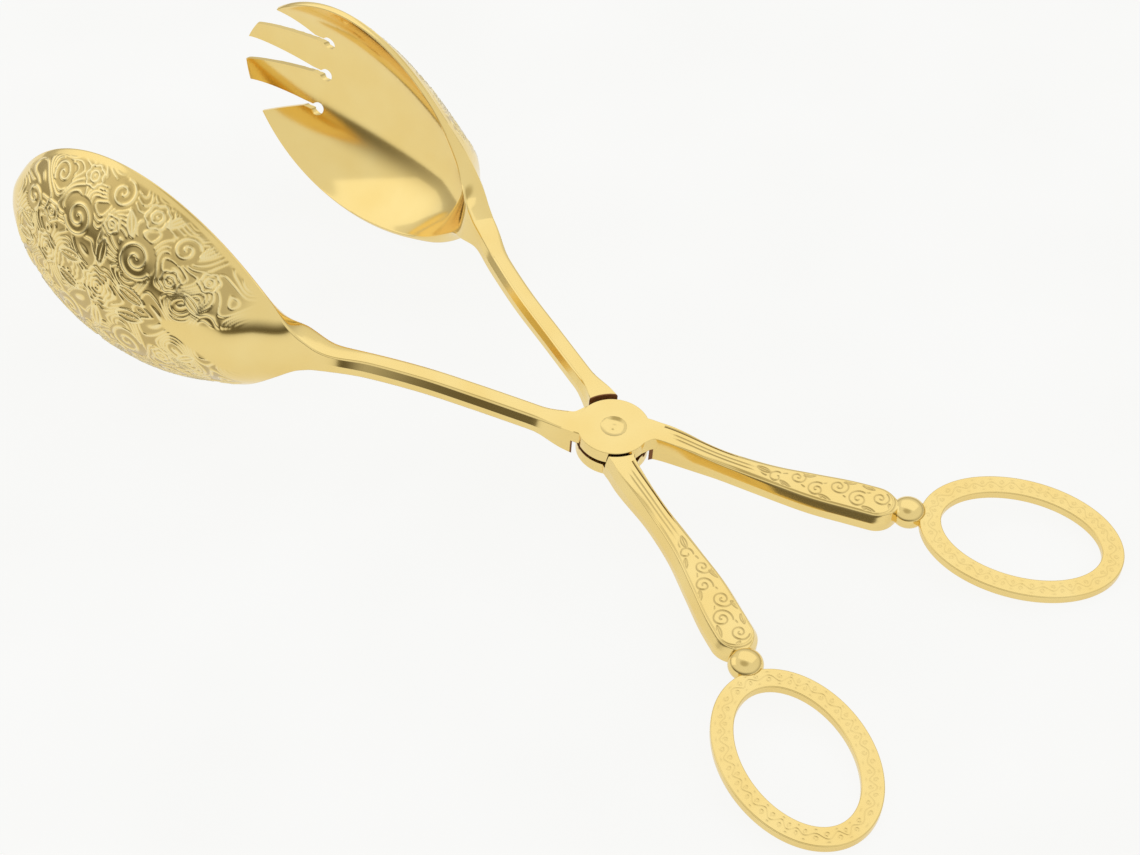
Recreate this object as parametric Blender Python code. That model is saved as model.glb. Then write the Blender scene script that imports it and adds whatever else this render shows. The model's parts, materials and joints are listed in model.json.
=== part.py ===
# Scissor-action serving tongs with a spoon head and a four-tine fork head, lying open.
# Each arm is one casting from bowl tip to finger ring. The arms cross in a half-lap joint,
# the spoon arm's lap on top, held by a rivet with a washer between the laps and one below.
#
# Arm frame: origin on the rivet's axis between the laps, +Z along the rivet, +X towards the
# finger rings. The fork head and the spoon arm's ring lie on the +Y side.
# Every arm is worked out with its head on the +Y side and its lap below. The spoon arm is
# then given a half turn about X, as one half of a pair of scissors is to the other.

import math

import bmesh
import bpy
from mathutils import Matrix, Vector

# Shared gaps
SEAT_GAP = 0.0003            # between surfaces that touch on the real tongs
CUT_OVERRUN = 0.002          # how far a cutter passes the face it leaves by

# Bowls
SPOON_LENGTH = 0.0898        # neck to tip along the rim
FORK_LENGTH = 0.0882
SPOON_HALF_WIDTH = 0.0256    # at the widest place of the rim
FORK_OVERHANG = 0.0010       # the fork is this much wider than the spoon on each side
BOWL_DEPTH = 0.0122          # rim plane to the deepest place of the wall's middle
BOWL_WALL = 0.0015
RIM_SWEEP = 0.0017           # the rim's middle lies this far behind the line neck to tip
RIM_CHAMFER = 0.00022
BOWL_LEAN = math.radians(11.6)     # the rim plane leans out of upright by this angle
BOWL_SPLAY = math.radians(4.6)     # the rim line turns out of the X direction by this angle
BOWL_DROP = 0.0021           # the bowls' middle lies this far below the laps' middle

# How the bowl's outline and depth grow and fall along its length
OUTLINE_RISE_SHARE = 0.80
OUTLINE_FALL_SHARE = 0.596
DEPTH_RISE_SHARE = 0.55
SPOON_DEPTH_FALL_SHARE = 0.52
FORK_DEPTH_FALL_SHARE = 0.78
SECTION_POWER_SHARE = 2.6    # 2 is a parabola, more is a flatter bottom with steeper walls

# Neck, where the shank spreads into the bowl
NECK_REACH = 0.0682          # from the pivot, along X
NECK_SPREAD = 0.0306         # from the pivot, along Y, to the rim line drawn on to the neck
NECK_SAG = 0.0018            # the shank joins this far in front of the rim line
NECK_LIFT = 0.0012           # the neck's middle lies this far above the bowl's middle
NECK_BLEND = 0.013           # over this length the sag is taken up
NECK_THINNING = 0.016        # over this length the neck's width becomes the bowl's wall
NECK_FLARE = 0.014           # length of shank that swells to the neck's size
NECK_WIDTH = 0.0054
NECK_THICKNESS = 0.0074

# Shanks
SPOON_SHANK_WIDTH = 0.0046
FORK_SHANK_WIDTH = 0.0040
SHANK_THICKNESS = 0.0040
SHANK_CHAMFER = 0.0006
SHANK_X_SHARES = (0.0, 0.066, 0.14, 0.275, 0.44, 0.62, 0.80, 0.92)
SHANK_Y_SHARES = (0.0, 0.108, 0.198, 0.300, 0.425, 0.565, 0.735, 0.876)
SHANK_SETTLE_SHARE = 0.55    # of the shank, over which the bowl's drop and lean fade out
SHANK_LIFT = 0.0010          # its middle lies this far above the laps' middle

# Hub with the half-lap joint
HUB_RADIUS = 0.0083
HUB_THICKNESS = 0.0073       # both laps and the washer between them
HUB_ARM_WIDTH = 0.0062       # width of shank and handle where they leave the hub
HUB_PROUD = 0.0001           # the hub's faces stand this far above shank and handle
HUB_FADE = 0.021             # from the pivot to where the extra thickness has faded out
SHOULDER_CLEARANCE = 0.0010  # between a lap's rim and the other arm's curved shoulder
HUB_CHAMFER = 0.0004

# Handles
HANDLE_REACH = 0.0606
HANDLE_SPREAD = 0.0272
HANDLE_WIDTH = 0.0094        # at the broad end
HANDLE_THICKNESS = 0.0043
HANDLE_DROP = 0.0005         # its middle lies this far below the laps' middle
HANDLE_CROWN = 0.0004        # rise of the middle of the top face over its edges
HANDLE_X_SHARES = (0.0, 0.07, 0.165, 0.34, 0.525, 0.707, 0.843, 1.0)
HANDLE_Y_SHARES = (0.0, 0.135, 0.25, 0.37, 0.52, 0.695, 0.845, 1.0)
HANDLE_WIDTH_SHARES = ((0.15, 0.62), (0.34, 0.57), (0.52, 0.63), (0.70, 0.80), (0.84, 0.97), (1.0, 1.0))

# Bead between handle and ring
BEAD_RADIUS = 0.0039
BEAD_HALF_HEIGHT = 0.0030
BEAD_OVERLAP = 0.0015        # how far it reaches into the handle's round end
BEAD_BEARING = math.radians(48)    # from the handle's end to the bead, away from X

# Finger rings
RING_OVERLAP = 0.00145       # how far the bead reaches into the band
RING_BEARING = math.radians(26.6)  # from the bead to the ring's middle, away from X
RING_LONG_RADIUS = 0.0206    # half length of the oval down the middle of the band
RING_SHORT_RADIUS = 0.01415
RING_BAND = 0.0049
RING_THICKNESS = 0.0021
RING_TURN = math.radians(24.6)     # of the long axis, away from X
RING_CHAMFER = 0.0004

# Rivet and washers
RIVET_RADIUS = 0.0020
RIVET_HEAD_RADIUS = 0.0029
RIVET_HEAD_DOME = 0.0004
RIVET_HEAD_EDGE = 0.0003     # height of the head's straight rim
DIMPLE_DEPTH = 0.0007        # of the recess that the head lies in
TAIL_RADIUS = 0.0030
TAIL_HEIGHT = 0.0010
LAP_WASHER_RADIUS = 0.0076
LAP_WASHER_THICKNESS = 0.0004
TAIL_WASHER_RADIUS = 0.0042
TAIL_WASHER_THICKNESS = 0.0005

# Fork slots
SLOT_BULB_RADIUS = 0.0017
SLOT_NECK_WIDTH = 0.0015
SLOT_ROOT_REACH = 0.0676     # neck of the arm to the middle of the bulbs
SLOT_NECK_LENGTH = 0.0038    # bulb's middle to where the slot starts to widen
SLOT_SPACING = 0.0101        # middle bulb to outer bulb, across the bowl
SLOT_FALL = 0.0005           # the slots' mouths lie this far below their bulbs
MIDDLE_MOUTH_WIDTH = 0.0076  # at the fork's tip
OUTER_MOUTH_INNER = 0.0080   # middle of the fork to the mouth's inner edge, at the tip
OUTER_MOUTH_OUTER = 0.0213   # middle of the fork to the mouth's outer edge, at the tip

# How finely round shapes are stepped
WALL_STEPS = 12
BOWL_STEPS = 26
SPAN_STEPS = 2
END_STEPS = 6
RING_STEPS = 48
ROUND_STEPS = 36

GOLD = (0.86, 0.66, 0.27, 1.0)
DARK_GOLD = (0.42, 0.27, 0.11, 1.0)
SPOON_TURN = Matrix.Rotation(math.pi, 4, "X")
HALF_CIRCLE = math.pi
FULL_CIRCLE = 2 * math.pi
MIDPOINT_SHARE = 0.5


def clear_scene():
    for thing in list(bpy.data.objects):
        bpy.data.objects.remove(thing, do_unlink=True)


def metal(name, colour, roughness):
    material = bpy.data.materials.new(name)
    material.use_nodes = True
    shader = material.node_tree.nodes["Principled BSDF"]
    shader.inputs["Base Color"].default_value = colour
    shader.inputs["Metallic"].default_value = 1.0
    shader.inputs["Roughness"].default_value = roughness
    return material


def new_object(name, bm, material=None):
    """Turn a bmesh into an object whose faces point outwards."""
    bmesh.ops.recalc_face_normals(bm, faces=bm.faces)
    mesh = bpy.data.meshes.new(name)
    bm.to_mesh(mesh)
    bm.free()
    mesh.shade_smooth()
    mesh.set_sharp_from_angle(angle=math.radians(32))
    thing = bpy.data.objects.new(name, mesh)
    bpy.context.scene.collection.objects.link(thing)
    if material:
        mesh.materials.append(material)
    return thing


def combine(body, other, operation):
    """Join another solid to a body, or cut it away, and keep the other one as a guide."""
    step = body.modifiers.new(other.name, "BOOLEAN")
    step.operation = operation
    step.object = other
    step.solver = "EXACT"
    other.hide_render = True
    other.display_type = "WIRE"


def ease(value):
    """Smooth step from 0 to 1."""
    value = min(max(value, 0.0), 1.0)
    return value * value * (3 - 2 * value)


def hump(share, rise, fall):
    """A curve that is 0 at both ends and 1 at its highest place."""
    top = rise / (rise + fall)
    height = top ** rise * (1 - top) ** fall
    return share ** rise * (1 - share) ** fall / height


def interpolate(table, share):
    """Read a table of (share, value) pairs, level beyond its ends."""
    if share <= table[0][0]:
        return table[0][1]
    for (low, first), (high, second) in zip(table, table[1:]):
        if share <= high:
            return first + (second - first) * ease((share - low) / (high - low))
    return table[-1][1]


def smooth_path(points):
    """Points along a Catmull-Rom curve through the given plan points, ends included."""
    ends = [2 * points[0] - points[1], *points, 2 * points[-1] - points[-2]]
    path = []
    for before, start, stop, after in zip(ends, ends[1:], ends[2:], ends[3:]):
        for step in range(SPAN_STEPS):
            t = step / SPAN_STEPS
            path.append(
                start
                + (stop - before) * t * MIDPOINT_SHARE
                + (2 * before - 5 * start + 4 * stop - after) * t * t * MIDPOINT_SHARE
                + (3 * start - before - 3 * stop + after) * t * t * t * MIDPOINT_SHARE
            )
    return path + [points[-1]]


def wall_section(half_height, depth, width, chamfer, crown=0.0):
    """Outline across an arm as (up, back) pairs: a curved wall of even width.

    The wall's middle runs from -half_height to half_height and bulges back by depth. With no
    depth it is a bar. The four long edges are chamfered, and a crown swells the two ends.
    """
    chamfer = min(chamfer, half_height / 2, width / 4)
    inset = chamfer / half_height

    def wall_point(across, side):
        height = half_height * across
        back = depth * (1 - abs(across) ** SECTION_POWER_SHARE)
        slope = -depth * SECTION_POWER_SHARE * abs(across) ** (SECTION_POWER_SHARE - 1)
        slope *= math.copysign(1 / half_height, across)
        lean = math.hypot(1, slope)
        return (height - slope / lean * side, back + side / lean)

    rows = [math.sin(HALF_CIRCLE * (step / WALL_STEPS - MIDPOINT_SHARE)) * (1 - inset)
            for step in range(WALL_STEPS + 1)]
    half = width / 2
    back_side = [wall_point(across, half) for across in rows]
    front_side = [wall_point(across, -half) for across in reversed(rows)]
    edge = half - chamfer
    top = [wall_point(1.0, edge), wall_point(1.0, 0.0), wall_point(1.0, -edge)]
    bottom = [wall_point(-1.0, -edge), wall_point(-1.0, 0.0), wall_point(-1.0, edge)]
    top[1] = (top[1][0] + crown, top[1][1])
    bottom[1] = (bottom[1][0] - crown, bottom[1][1])
    return back_side + top + front_side + bottom


def place_section(section, centre, forward, lean):
    """Stand an outline across the arm at a plan point, leaning the given angle backwards."""
    back = Vector((-forward.y, forward.x, 0.0)).normalized()
    up = Vector((0.0, 0.0, 1.0))
    tall = up * math.cos(lean) + back * math.sin(lean)
    deep = back * math.cos(lean) - up * math.sin(lean)
    return [centre + tall * height + deep * depth for height, depth in section]


def loft(rings):
    """A closed skin over a row of outlines that all have the same number of points."""
    bm = bmesh.new()
    rows = [[bm.verts.new(point) for point in ring] for ring in rings]
    for first, second in zip(rows, rows[1:]):
        for index, vertex in enumerate(first):
            following = (index + 1) % len(first)
            bm.faces.new((vertex, first[following], second[following], second[index]))
    bm.faces.new(rows[0])
    bm.faces.new(list(reversed(rows[-1])))
    return bm


def bowl_line(reach):
    """The rim line's plan point, a given reach beyond the neck, with the sag at the neck."""
    along = Vector((-math.cos(BOWL_SPLAY), math.sin(BOWL_SPLAY), 0.0))
    across = Vector((math.sin(BOWL_SPLAY), math.cos(BOWL_SPLAY), 0.0))
    sag = NECK_SAG * max(1 - reach / NECK_BLEND, 0.0) ** 2
    return Vector((-NECK_REACH, NECK_SPREAD, 0.0)) + along * reach - across * sag


def bowl_rings(length, half_width, depth_fall, lift):
    """Outlines from the bowl's tip to the neck."""
    rings = []
    forward = Vector((math.cos(BOWL_SPLAY), -math.sin(BOWL_SPLAY), 0.0))
    for step in range(BOWL_STEPS):
        turn = HALF_CIRCLE * (step + MIDPOINT_SHARE) / (BOWL_STEPS + 1)
        share = (1 + math.cos(turn)) * MIDPOINT_SHARE
        reach = share * length
        near = ease(1 - reach / NECK_THINNING)
        outline = half_width * hump(share, OUTLINE_RISE_SHARE, OUTLINE_FALL_SHARE)
        half_height = math.hypot(outline, NECK_THICKNESS / 2 * near)
        depth = BOWL_DEPTH * hump(share, DEPTH_RISE_SHARE, depth_fall) * (1 - near)
        width = BOWL_WALL + (NECK_WIDTH - BOWL_WALL) * near
        chamfer = RIM_CHAMFER + (SHANK_CHAMFER - RIM_CHAMFER) * near
        sweep = RIM_SWEEP * hump(share, 1, 1)
        drop = BOWL_DROP - NECK_LIFT * near
        centre = bowl_line(reach) + Vector((0.0, sweep, -lift * drop))
        section = wall_section(half_height, depth, width, chamfer)
        rings.append(place_section(section, centre, forward, BOWL_LEAN))
    return rings


def bar_rings(path, shape, lift):
    """Outlines along a plan path; shape gives width, thickness, drop, crown and lean."""
    rings = []
    for index, point in enumerate(path):
        before = path[max(index - 1, 0)]
        after = path[min(index + 1, len(path) - 1)]
        width, thickness, drop, crown, lean = shape(index / (len(path) - 1), point)
        centre = Vector((point.x, point.y, -lift * drop))
        section = wall_section(thickness / 2, 0.0, width, SHANK_CHAMFER, crown)
        rings.append(place_section(section, centre, after - before, lean))
    return rings


def shank_rings(shank_width, lift):
    """Outlines from the neck to the pivot."""
    points = [
        Vector((-NECK_REACH * x, NECK_SPREAD * y, 0.0))
        for x, y in zip(SHANK_X_SHARES, SHANK_Y_SHARES)
    ]
    points.append(bowl_line(0.0))
    points.reverse()

    def shape(share, point):
        hub = ease(1 - (point.length - HUB_RADIUS) / (HUB_FADE - HUB_RADIUS))
        neck = ease(1 - (point - points[0]).length / NECK_FLARE)
        width = shank_width + (HUB_ARM_WIDTH - shank_width) * hub + (NECK_WIDTH - shank_width) * neck
        thickness = SHANK_THICKNESS + (HUB_THICKNESS - 2 * HUB_PROUD - SHANK_THICKNESS) * hub
        thickness += (NECK_THICKNESS - SHANK_THICKNESS) * neck
        settle = 1 - ease(share / SHANK_SETTLE_SHARE)
        drop = (BOWL_DROP - NECK_LIFT) * settle - SHANK_LIFT * (1 - settle) * (1 - hub)
        return width, thickness, drop, 0.0, BOWL_LEAN * settle

    return bar_rings(smooth_path(points)[1:], shape, lift)


def handle_path():
    """Plan points from the pivot to the middle of the handle's round end."""
    points = [
        Vector((HANDLE_REACH * x, -HANDLE_SPREAD * y, 0.0))
        for x, y in zip(HANDLE_X_SHARES, HANDLE_Y_SHARES)
    ]
    path = smooth_path(points)
    last = (path[-1] - path[-2]).normalized()
    return path[:-1] + [path[-1] - last * HANDLE_WIDTH / 2], last


def handle_rings(lift):
    """Outlines from the pivot to the handle's round end."""
    path, last = handle_path()

    def shape(share, point):
        hub = ease(1 - (point.length - HUB_RADIUS) / (HUB_FADE - HUB_RADIUS))
        broad = HANDLE_WIDTH * interpolate(HANDLE_WIDTH_SHARES, point.x / HANDLE_REACH)
        width = broad + (HUB_ARM_WIDTH - broad) * hub
        thickness = HANDLE_THICKNESS + (HUB_THICKNESS - 2 * HUB_PROUD - HANDLE_THICKNESS) * hub
        return width, thickness, HANDLE_DROP * (1 - hub), HANDLE_CROWN * (1 - hub), 0.0

    rings = bar_rings(path[1:], shape, lift)
    half = HANDLE_WIDTH / 2
    for step in range(1, END_STEPS + 1):
        turn = HALF_CIRCLE / 2 * step / (END_STEPS + MIDPOINT_SHARE)
        centre = path[-1] + last * half * math.sin(turn)
        centre.z = -lift * HANDLE_DROP
        narrow = math.cos(turn)
        section = wall_section(
            HANDLE_THICKNESS / 2, 0.0, HANDLE_WIDTH * narrow, SHANK_CHAMFER, HANDLE_CROWN * narrow
        )
        rings.append(place_section(section, centre, last, 0.0))
    return rings


def turned(name, profile, material=None):
    """A solid turned about the Z axis from (radius, height) points that start and end on it."""
    bm = bmesh.new()
    bottom = bm.verts.new((0.0, 0.0, profile[0][1]))
    top = bm.verts.new((0.0, 0.0, profile[-1][1]))
    rows = []
    for radius, height in profile[1:-1]:
        row = []
        for step in range(ROUND_STEPS):
            turn = FULL_CIRCLE * step / ROUND_STEPS
            row.append(bm.verts.new((radius * math.cos(turn), radius * math.sin(turn), height)))
        rows.append(row)
    for index in range(ROUND_STEPS):
        following = (index + 1) % ROUND_STEPS
        bm.faces.new((bottom, rows[0][following], rows[0][index]))
        for first, second in zip(rows, rows[1:]):
            bm.faces.new((first[index], first[following], second[following], second[index]))
        bm.faces.new((rows[-1][index], rows[-1][following], top))
    return new_object(name, bm, material)


def hub_disc(name):
    """The round disc about the pivot, with chamfered rims, before the half lap is cut."""
    high = HUB_THICKNESS / 2
    face = HUB_RADIUS - HUB_CHAMFER
    shoulder = high - HUB_CHAMFER
    profile = [
        (0.0, -high), (face, -high), (HUB_RADIUS, -shoulder),
        (HUB_RADIUS, shoulder), (face, high), (0.0, high),
    ]
    return turned(name, profile)


def washer(name, radius, hole_radius, low, high, material):
    """A flat ring about the Z axis."""
    bm = bmesh.new()
    corners = ((radius, low), (radius, high), (hole_radius, high), (hole_radius, low))
    rows = []
    for step in range(ROUND_STEPS):
        turn = FULL_CIRCLE * step / ROUND_STEPS
        rows.append([
            bm.verts.new((out * math.cos(turn), out * math.sin(turn), height))
            for out, height in corners
        ])
    for index, row in enumerate(rows):
        following = rows[(index + 1) % ROUND_STEPS]
        for corner in range(len(corners)):
            after = (corner + 1) % len(corners)
            bm.faces.new((row[corner], following[corner], following[after], row[after]))
    return new_object(name, bm, material)


def bead_middle():
    """The bead's plan point, set off from the handle's end."""
    turn = Matrix.Rotation(-BEAD_BEARING, 3, "Z")
    end = Vector((HANDLE_REACH, -HANDLE_SPREAD, 0.0))
    return end + turn @ Vector((BEAD_RADIUS - BEAD_OVERLAP, 0.0, 0.0))


def ring_middle():
    """The finger ring's plan point, set off from the bead."""
    turn = Matrix.Rotation(-RING_BEARING, 3, "Z")
    step = BEAD_RADIUS - RING_OVERLAP + RING_BAND / 2 + RING_LONG_RADIUS
    return bead_middle() + turn @ Vector((step, 0.0, 0.0))


def finger_ring(name):
    """A flat oval band of even width with chamfered edges."""
    middle = ring_middle()
    half = RING_BAND / 2
    face = half - RING_CHAMFER
    height = RING_THICKNESS / 2
    shoulder = height - RING_CHAMFER
    outline = (
        (half, -shoulder), (half, shoulder), (face, height), (-face, height),
        (-half, shoulder), (-half, -shoulder), (-face, -height), (face, -height),
    )
    bm = bmesh.new()
    rows = []
    for step in range(RING_STEPS):
        turn = FULL_CIRCLE * step / RING_STEPS
        point = Vector((RING_LONG_RADIUS * math.cos(turn), RING_SHORT_RADIUS * math.sin(turn)))
        outward = Vector((RING_SHORT_RADIUS * math.cos(turn), RING_LONG_RADIUS * math.sin(turn)))
        outward.normalize()
        rows.append([
            bm.verts.new((point.x + outward.x * out, point.y + outward.y * out, up))
            for out, up in outline
        ])
    for index, row in enumerate(rows):
        following = rows[(index + 1) % RING_STEPS]
        for corner in range(len(outline)):
            after = (corner + 1) % len(outline)
            bm.faces.new((row[corner], following[corner], following[after], row[after]))
    bm.transform(Matrix.Rotation(-RING_TURN, 4, "Z"))
    bm.transform(Matrix.Translation((middle.x, middle.y, 0.0)))
    return new_object(name, bm)


def bead(name):
    """The rounded button between the handle's end and the ring."""
    middle = bead_middle()
    bm = bmesh.new()
    bmesh.ops.create_uvsphere(bm, u_segments=20, v_segments=10, radius=BEAD_RADIUS)
    bm.transform(Matrix.Diagonal((1.0, 1.0, BEAD_HALF_HEIGHT / BEAD_RADIUS, 1.0)))
    bm.transform(Matrix.Translation((middle.x, middle.y, 0.0)))
    return new_object(name, bm)


def slot_outline(middle, low_edge, high_edge, length):
    """A keyhole slot in the bowl's plane as (reach, across) points: bulb, neck and mouth."""
    half = SLOT_NECK_WIDTH / 2
    opening = math.asin(half / SLOT_BULB_RADIUS)
    bulb_steps = ROUND_STEPS // 4
    points = []
    for step in range(bulb_steps + 1):
        turn = opening + (FULL_CIRCLE - 2 * opening) * step / bulb_steps
        points.append((
            SLOT_ROOT_REACH + SLOT_BULB_RADIUS * math.cos(turn),
            middle + SLOT_BULB_RADIUS * math.sin(turn),
        ))
    neck = SLOT_ROOT_REACH + SLOT_NECK_LENGTH
    mouth = length + CUT_OVERRUN
    points += [
        (neck, middle - half),
        (mouth, low_edge - SLOT_FALL),
        (mouth, high_edge - SLOT_FALL),
        (neck, middle + half),
    ]
    return points


def slot_cutter(name, outline, lift):
    """Push a slot's outline through the bowl from front to back."""
    forward = Vector((math.cos(BOWL_SPLAY), -math.sin(BOWL_SPLAY), 0.0))
    rings = []
    for back in (-BOWL_DEPTH - CUT_OVERRUN, BOWL_DEPTH + RIM_SWEEP + BOWL_WALL + CUT_OVERRUN):
        ring = []
        for reach, across in outline:
            centre = Vector((-NECK_REACH, NECK_SPREAD, -lift * BOWL_DROP)) - forward * reach
            ring += place_section([(across, back)], centre, forward, BOWL_LEAN)
        rings.append(ring)
    return new_object(name, loft(rings))


def joint_cutter(name, dimple):
    """Clears the other arm's lap, up to the curved shoulders, and bores the rivet's hole.

    With a dimple, it also sinks the recess for the rivet's head into the outer face. It is
    turned by half a step, so that its edges cross the hub's faces and not their edges.
    """
    outer_face = -HUB_THICKNESS / 2
    lap_face = -(LAP_WASHER_THICKNESS / 2 + SEAT_GAP)
    high = HUB_THICKNESS / 2 + HANDLE_CROWN + CUT_OVERRUN
    bore = RIVET_RADIUS + SEAT_GAP
    lap = HUB_RADIUS + SHOULDER_CLEARANCE
    mouth = RIVET_HEAD_RADIUS + SEAT_GAP if dimple else bore
    profile = [(0.0, outer_face - CUT_OVERRUN), (mouth, outer_face - CUT_OVERRUN)]
    if dimple:
        floor = outer_face + DIMPLE_DEPTH
        profile += [(mouth, floor), (bore, floor)]
    profile += [(bore, lap_face), (lap, lap_face), (lap, high), (0.0, high)]
    cutter = turned(name, profile)
    cutter.data.transform(Matrix.Rotation(HALF_CIRCLE / ROUND_STEPS, 4, "Z"))
    return cutter


def arm(name, bowl, shank_width, lift, dimple, material):
    """One casting: bowl, neck, shank, lap, handle, bead and ring."""
    rings = bowl + shank_rings(shank_width, lift) + handle_rings(lift)
    body = new_object(name, loft(rings), material)
    hub = hub_disc(name + "_hub")
    button = bead(name + "_bead")
    ring = finger_ring(name + "_ring")
    recess = joint_cutter(name + "_recess", dimple)
    for addition in (hub, button, ring):
        combine(body, addition, "UNION")
    combine(body, recess, "DIFFERENCE")
    return body, [hub, button, ring, recess]


def make_fork_arm(material):
    half_width = SPOON_HALF_WIDTH + FORK_OVERHANG
    bowl = bowl_rings(FORK_LENGTH, half_width, FORK_DEPTH_FALL_SHARE, 1.0)
    body, guides = arm("fork_arm", bowl, FORK_SHANK_WIDTH, 1.0, False, material)
    half = MIDDLE_MOUTH_WIDTH / 2
    outlines = (
        slot_outline(0.0, -half, half, FORK_LENGTH),
        slot_outline(SLOT_SPACING, OUTER_MOUTH_INNER, OUTER_MOUTH_OUTER, FORK_LENGTH),
        slot_outline(-SLOT_SPACING, -OUTER_MOUTH_OUTER, -OUTER_MOUTH_INNER, FORK_LENGTH),
    )
    for number, outline in enumerate(outlines, 1):
        cutter = slot_cutter(f"fork_slot_{number}", outline, 1.0)
        combine(body, cutter, "DIFFERENCE")
        guides.append(cutter)
    return body, guides


def make_spoon_arm(material):
    """The arm with the dimple for the rivet's head, made lap down and then given its half turn."""
    bowl = bowl_rings(SPOON_LENGTH, SPOON_HALF_WIDTH, SPOON_DEPTH_FALL_SHARE, -1.0)
    body, guides = arm("spoon_arm", bowl, SPOON_SHANK_WIDTH, -1.0, True, material)
    for thing in [body, *guides]:
        thing.data.transform(SPOON_TURN)
    return body, guides


def make_rivet(material):
    """A domed head in the spoon arm's dimple, and a formed tail under the tail washer."""
    seat = HUB_THICKNESS / 2 - DIMPLE_DEPTH + SEAT_GAP
    tail = -(HUB_THICKNESS / 2 + SEAT_GAP + TAIL_WASHER_THICKNESS + SEAT_GAP)
    edge = seat + RIVET_HEAD_EDGE
    profile = [
        (0.0, tail - TAIL_HEIGHT),
        (TAIL_RADIUS * MIDPOINT_SHARE, tail - TAIL_HEIGHT),
        (TAIL_RADIUS, tail - TAIL_HEIGHT * MIDPOINT_SHARE),
        (TAIL_RADIUS, tail),
        (RIVET_RADIUS, tail),
        (RIVET_RADIUS, seat),
        (RIVET_HEAD_RADIUS, seat),
    ]
    for step in range(END_STEPS):
        turn = HALF_CIRCLE / 2 * step / END_STEPS
        profile.append((RIVET_HEAD_RADIUS * math.cos(turn), edge + RIVET_HEAD_DOME * math.sin(turn)))
    profile.append((0.0, edge + RIVET_HEAD_DOME))
    return turned("pivot_rivet", profile, material)


def make_washers(material):
    hole = RIVET_RADIUS + SEAT_GAP
    half = LAP_WASHER_THICKNESS / 2
    high = -(HUB_THICKNESS / 2 + SEAT_GAP)
    low = high - TAIL_WASHER_THICKNESS
    return [
        washer("lap_washer", LAP_WASHER_RADIUS, hole, -half, half, material),
        washer("tail_washer", TAIL_WASHER_RADIUS, hole, low, high, material),
    ]


def evaluated_points(things):
    """World points of the finished objects."""
    graph = bpy.context.evaluated_depsgraph_get()
    points = []
    for thing in things:
        final = thing.evaluated_get(graph)
        points += [final.matrix_world @ vertex.co for vertex in final.data.vertices]
    return points


def lay_on_table(root, things):
    """Tip the tongs about Y until bowls and finger rings both touch the table."""
    bpy.context.view_layer.update()
    points = evaluated_points(things)
    heads = [point for point in points if point.x < 0]
    rings = [point for point in points if point.x > 0]
    low, high = 0.0, math.radians(20)
    while high - low > math.radians(0.0001):
        tilt = (low + high) / 2
        turn = Matrix.Rotation(tilt, 3, "Y")
        if min((turn @ point).z for point in heads) < min((turn @ point).z for point in rings):
            low = tilt
        else:
            high = tilt
    turn = Matrix.Rotation(tilt, 3, "Y")
    laid = [turn @ point for point in points]
    middle = [
        (min(point[axis] for point in laid) + max(point[axis] for point in laid)) / 2
        for axis in range(2)
    ]
    floor = min(point.z for point in laid)
    root.rotation_euler = (0.0, tilt, 0.0)
    root.location = (-middle[0], -middle[1], -floor)


def main():
    clear_scene()
    spoon_gold = metal("spoon arm gold plate", GOLD, 0.16)
    fork_gold = metal("fork arm gold plate", GOLD, 0.14)
    rivet_gold = metal("rivet gold plate", GOLD, 0.18)
    washer_metal = metal("dark brass washer", DARK_GOLD, 0.45)
    tongs = bpy.data.objects.new("tongs", None)
    fork_hinge = bpy.data.objects.new("fork_hinge", None)
    for empty in (tongs, fork_hinge):
        bpy.context.scene.collection.objects.link(empty)
    fork_hinge.parent = tongs
    spoon, spoon_guides = make_spoon_arm(spoon_gold)
    fork, fork_guides = make_fork_arm(fork_gold)
    rivet = make_rivet(rivet_gold)
    washers = make_washers(washer_metal)
    lay_on_table(tongs, [spoon, fork, rivet, *washers])
    for thing in [spoon, rivet, *washers, *spoon_guides]:
        thing.parent = tongs
    for thing in [fork, *fork_guides]:
        thing.parent = fork_hinge
    bpy.context.view_layer.update()
    axis = tongs.matrix_world.to_3x3() @ Vector((0.0, 0.0, 1.0))
    print("pivot", tuple(round(value, 6) for value in tongs.location))
    print("pivot axis", tuple(round(value, 6) for value in axis))


main()
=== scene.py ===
# Scissor-action serving tongs in gold-plated cast metal: a spoon jaw with an embossed back, a slotted
# fork jaw, a half-lap riveted pivot, engraved handles, beads and finger rings with a vine track.
# Arm space: origin on the rivet's axis between the laps, z along the rivet, x towards the rings.
# Each arm is worked out with its jaw on the +y side and its lap below, as the fork arm lies. The spoon
# arm then gets a half turn about x. Sizes are in metres, ornament is laid out in millimetres.

import json
from functools import partial
from math import asin, cos, pi, radians, sin

import bpy
import numpy as np
from mathutils import Matrix, Vector


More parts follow.
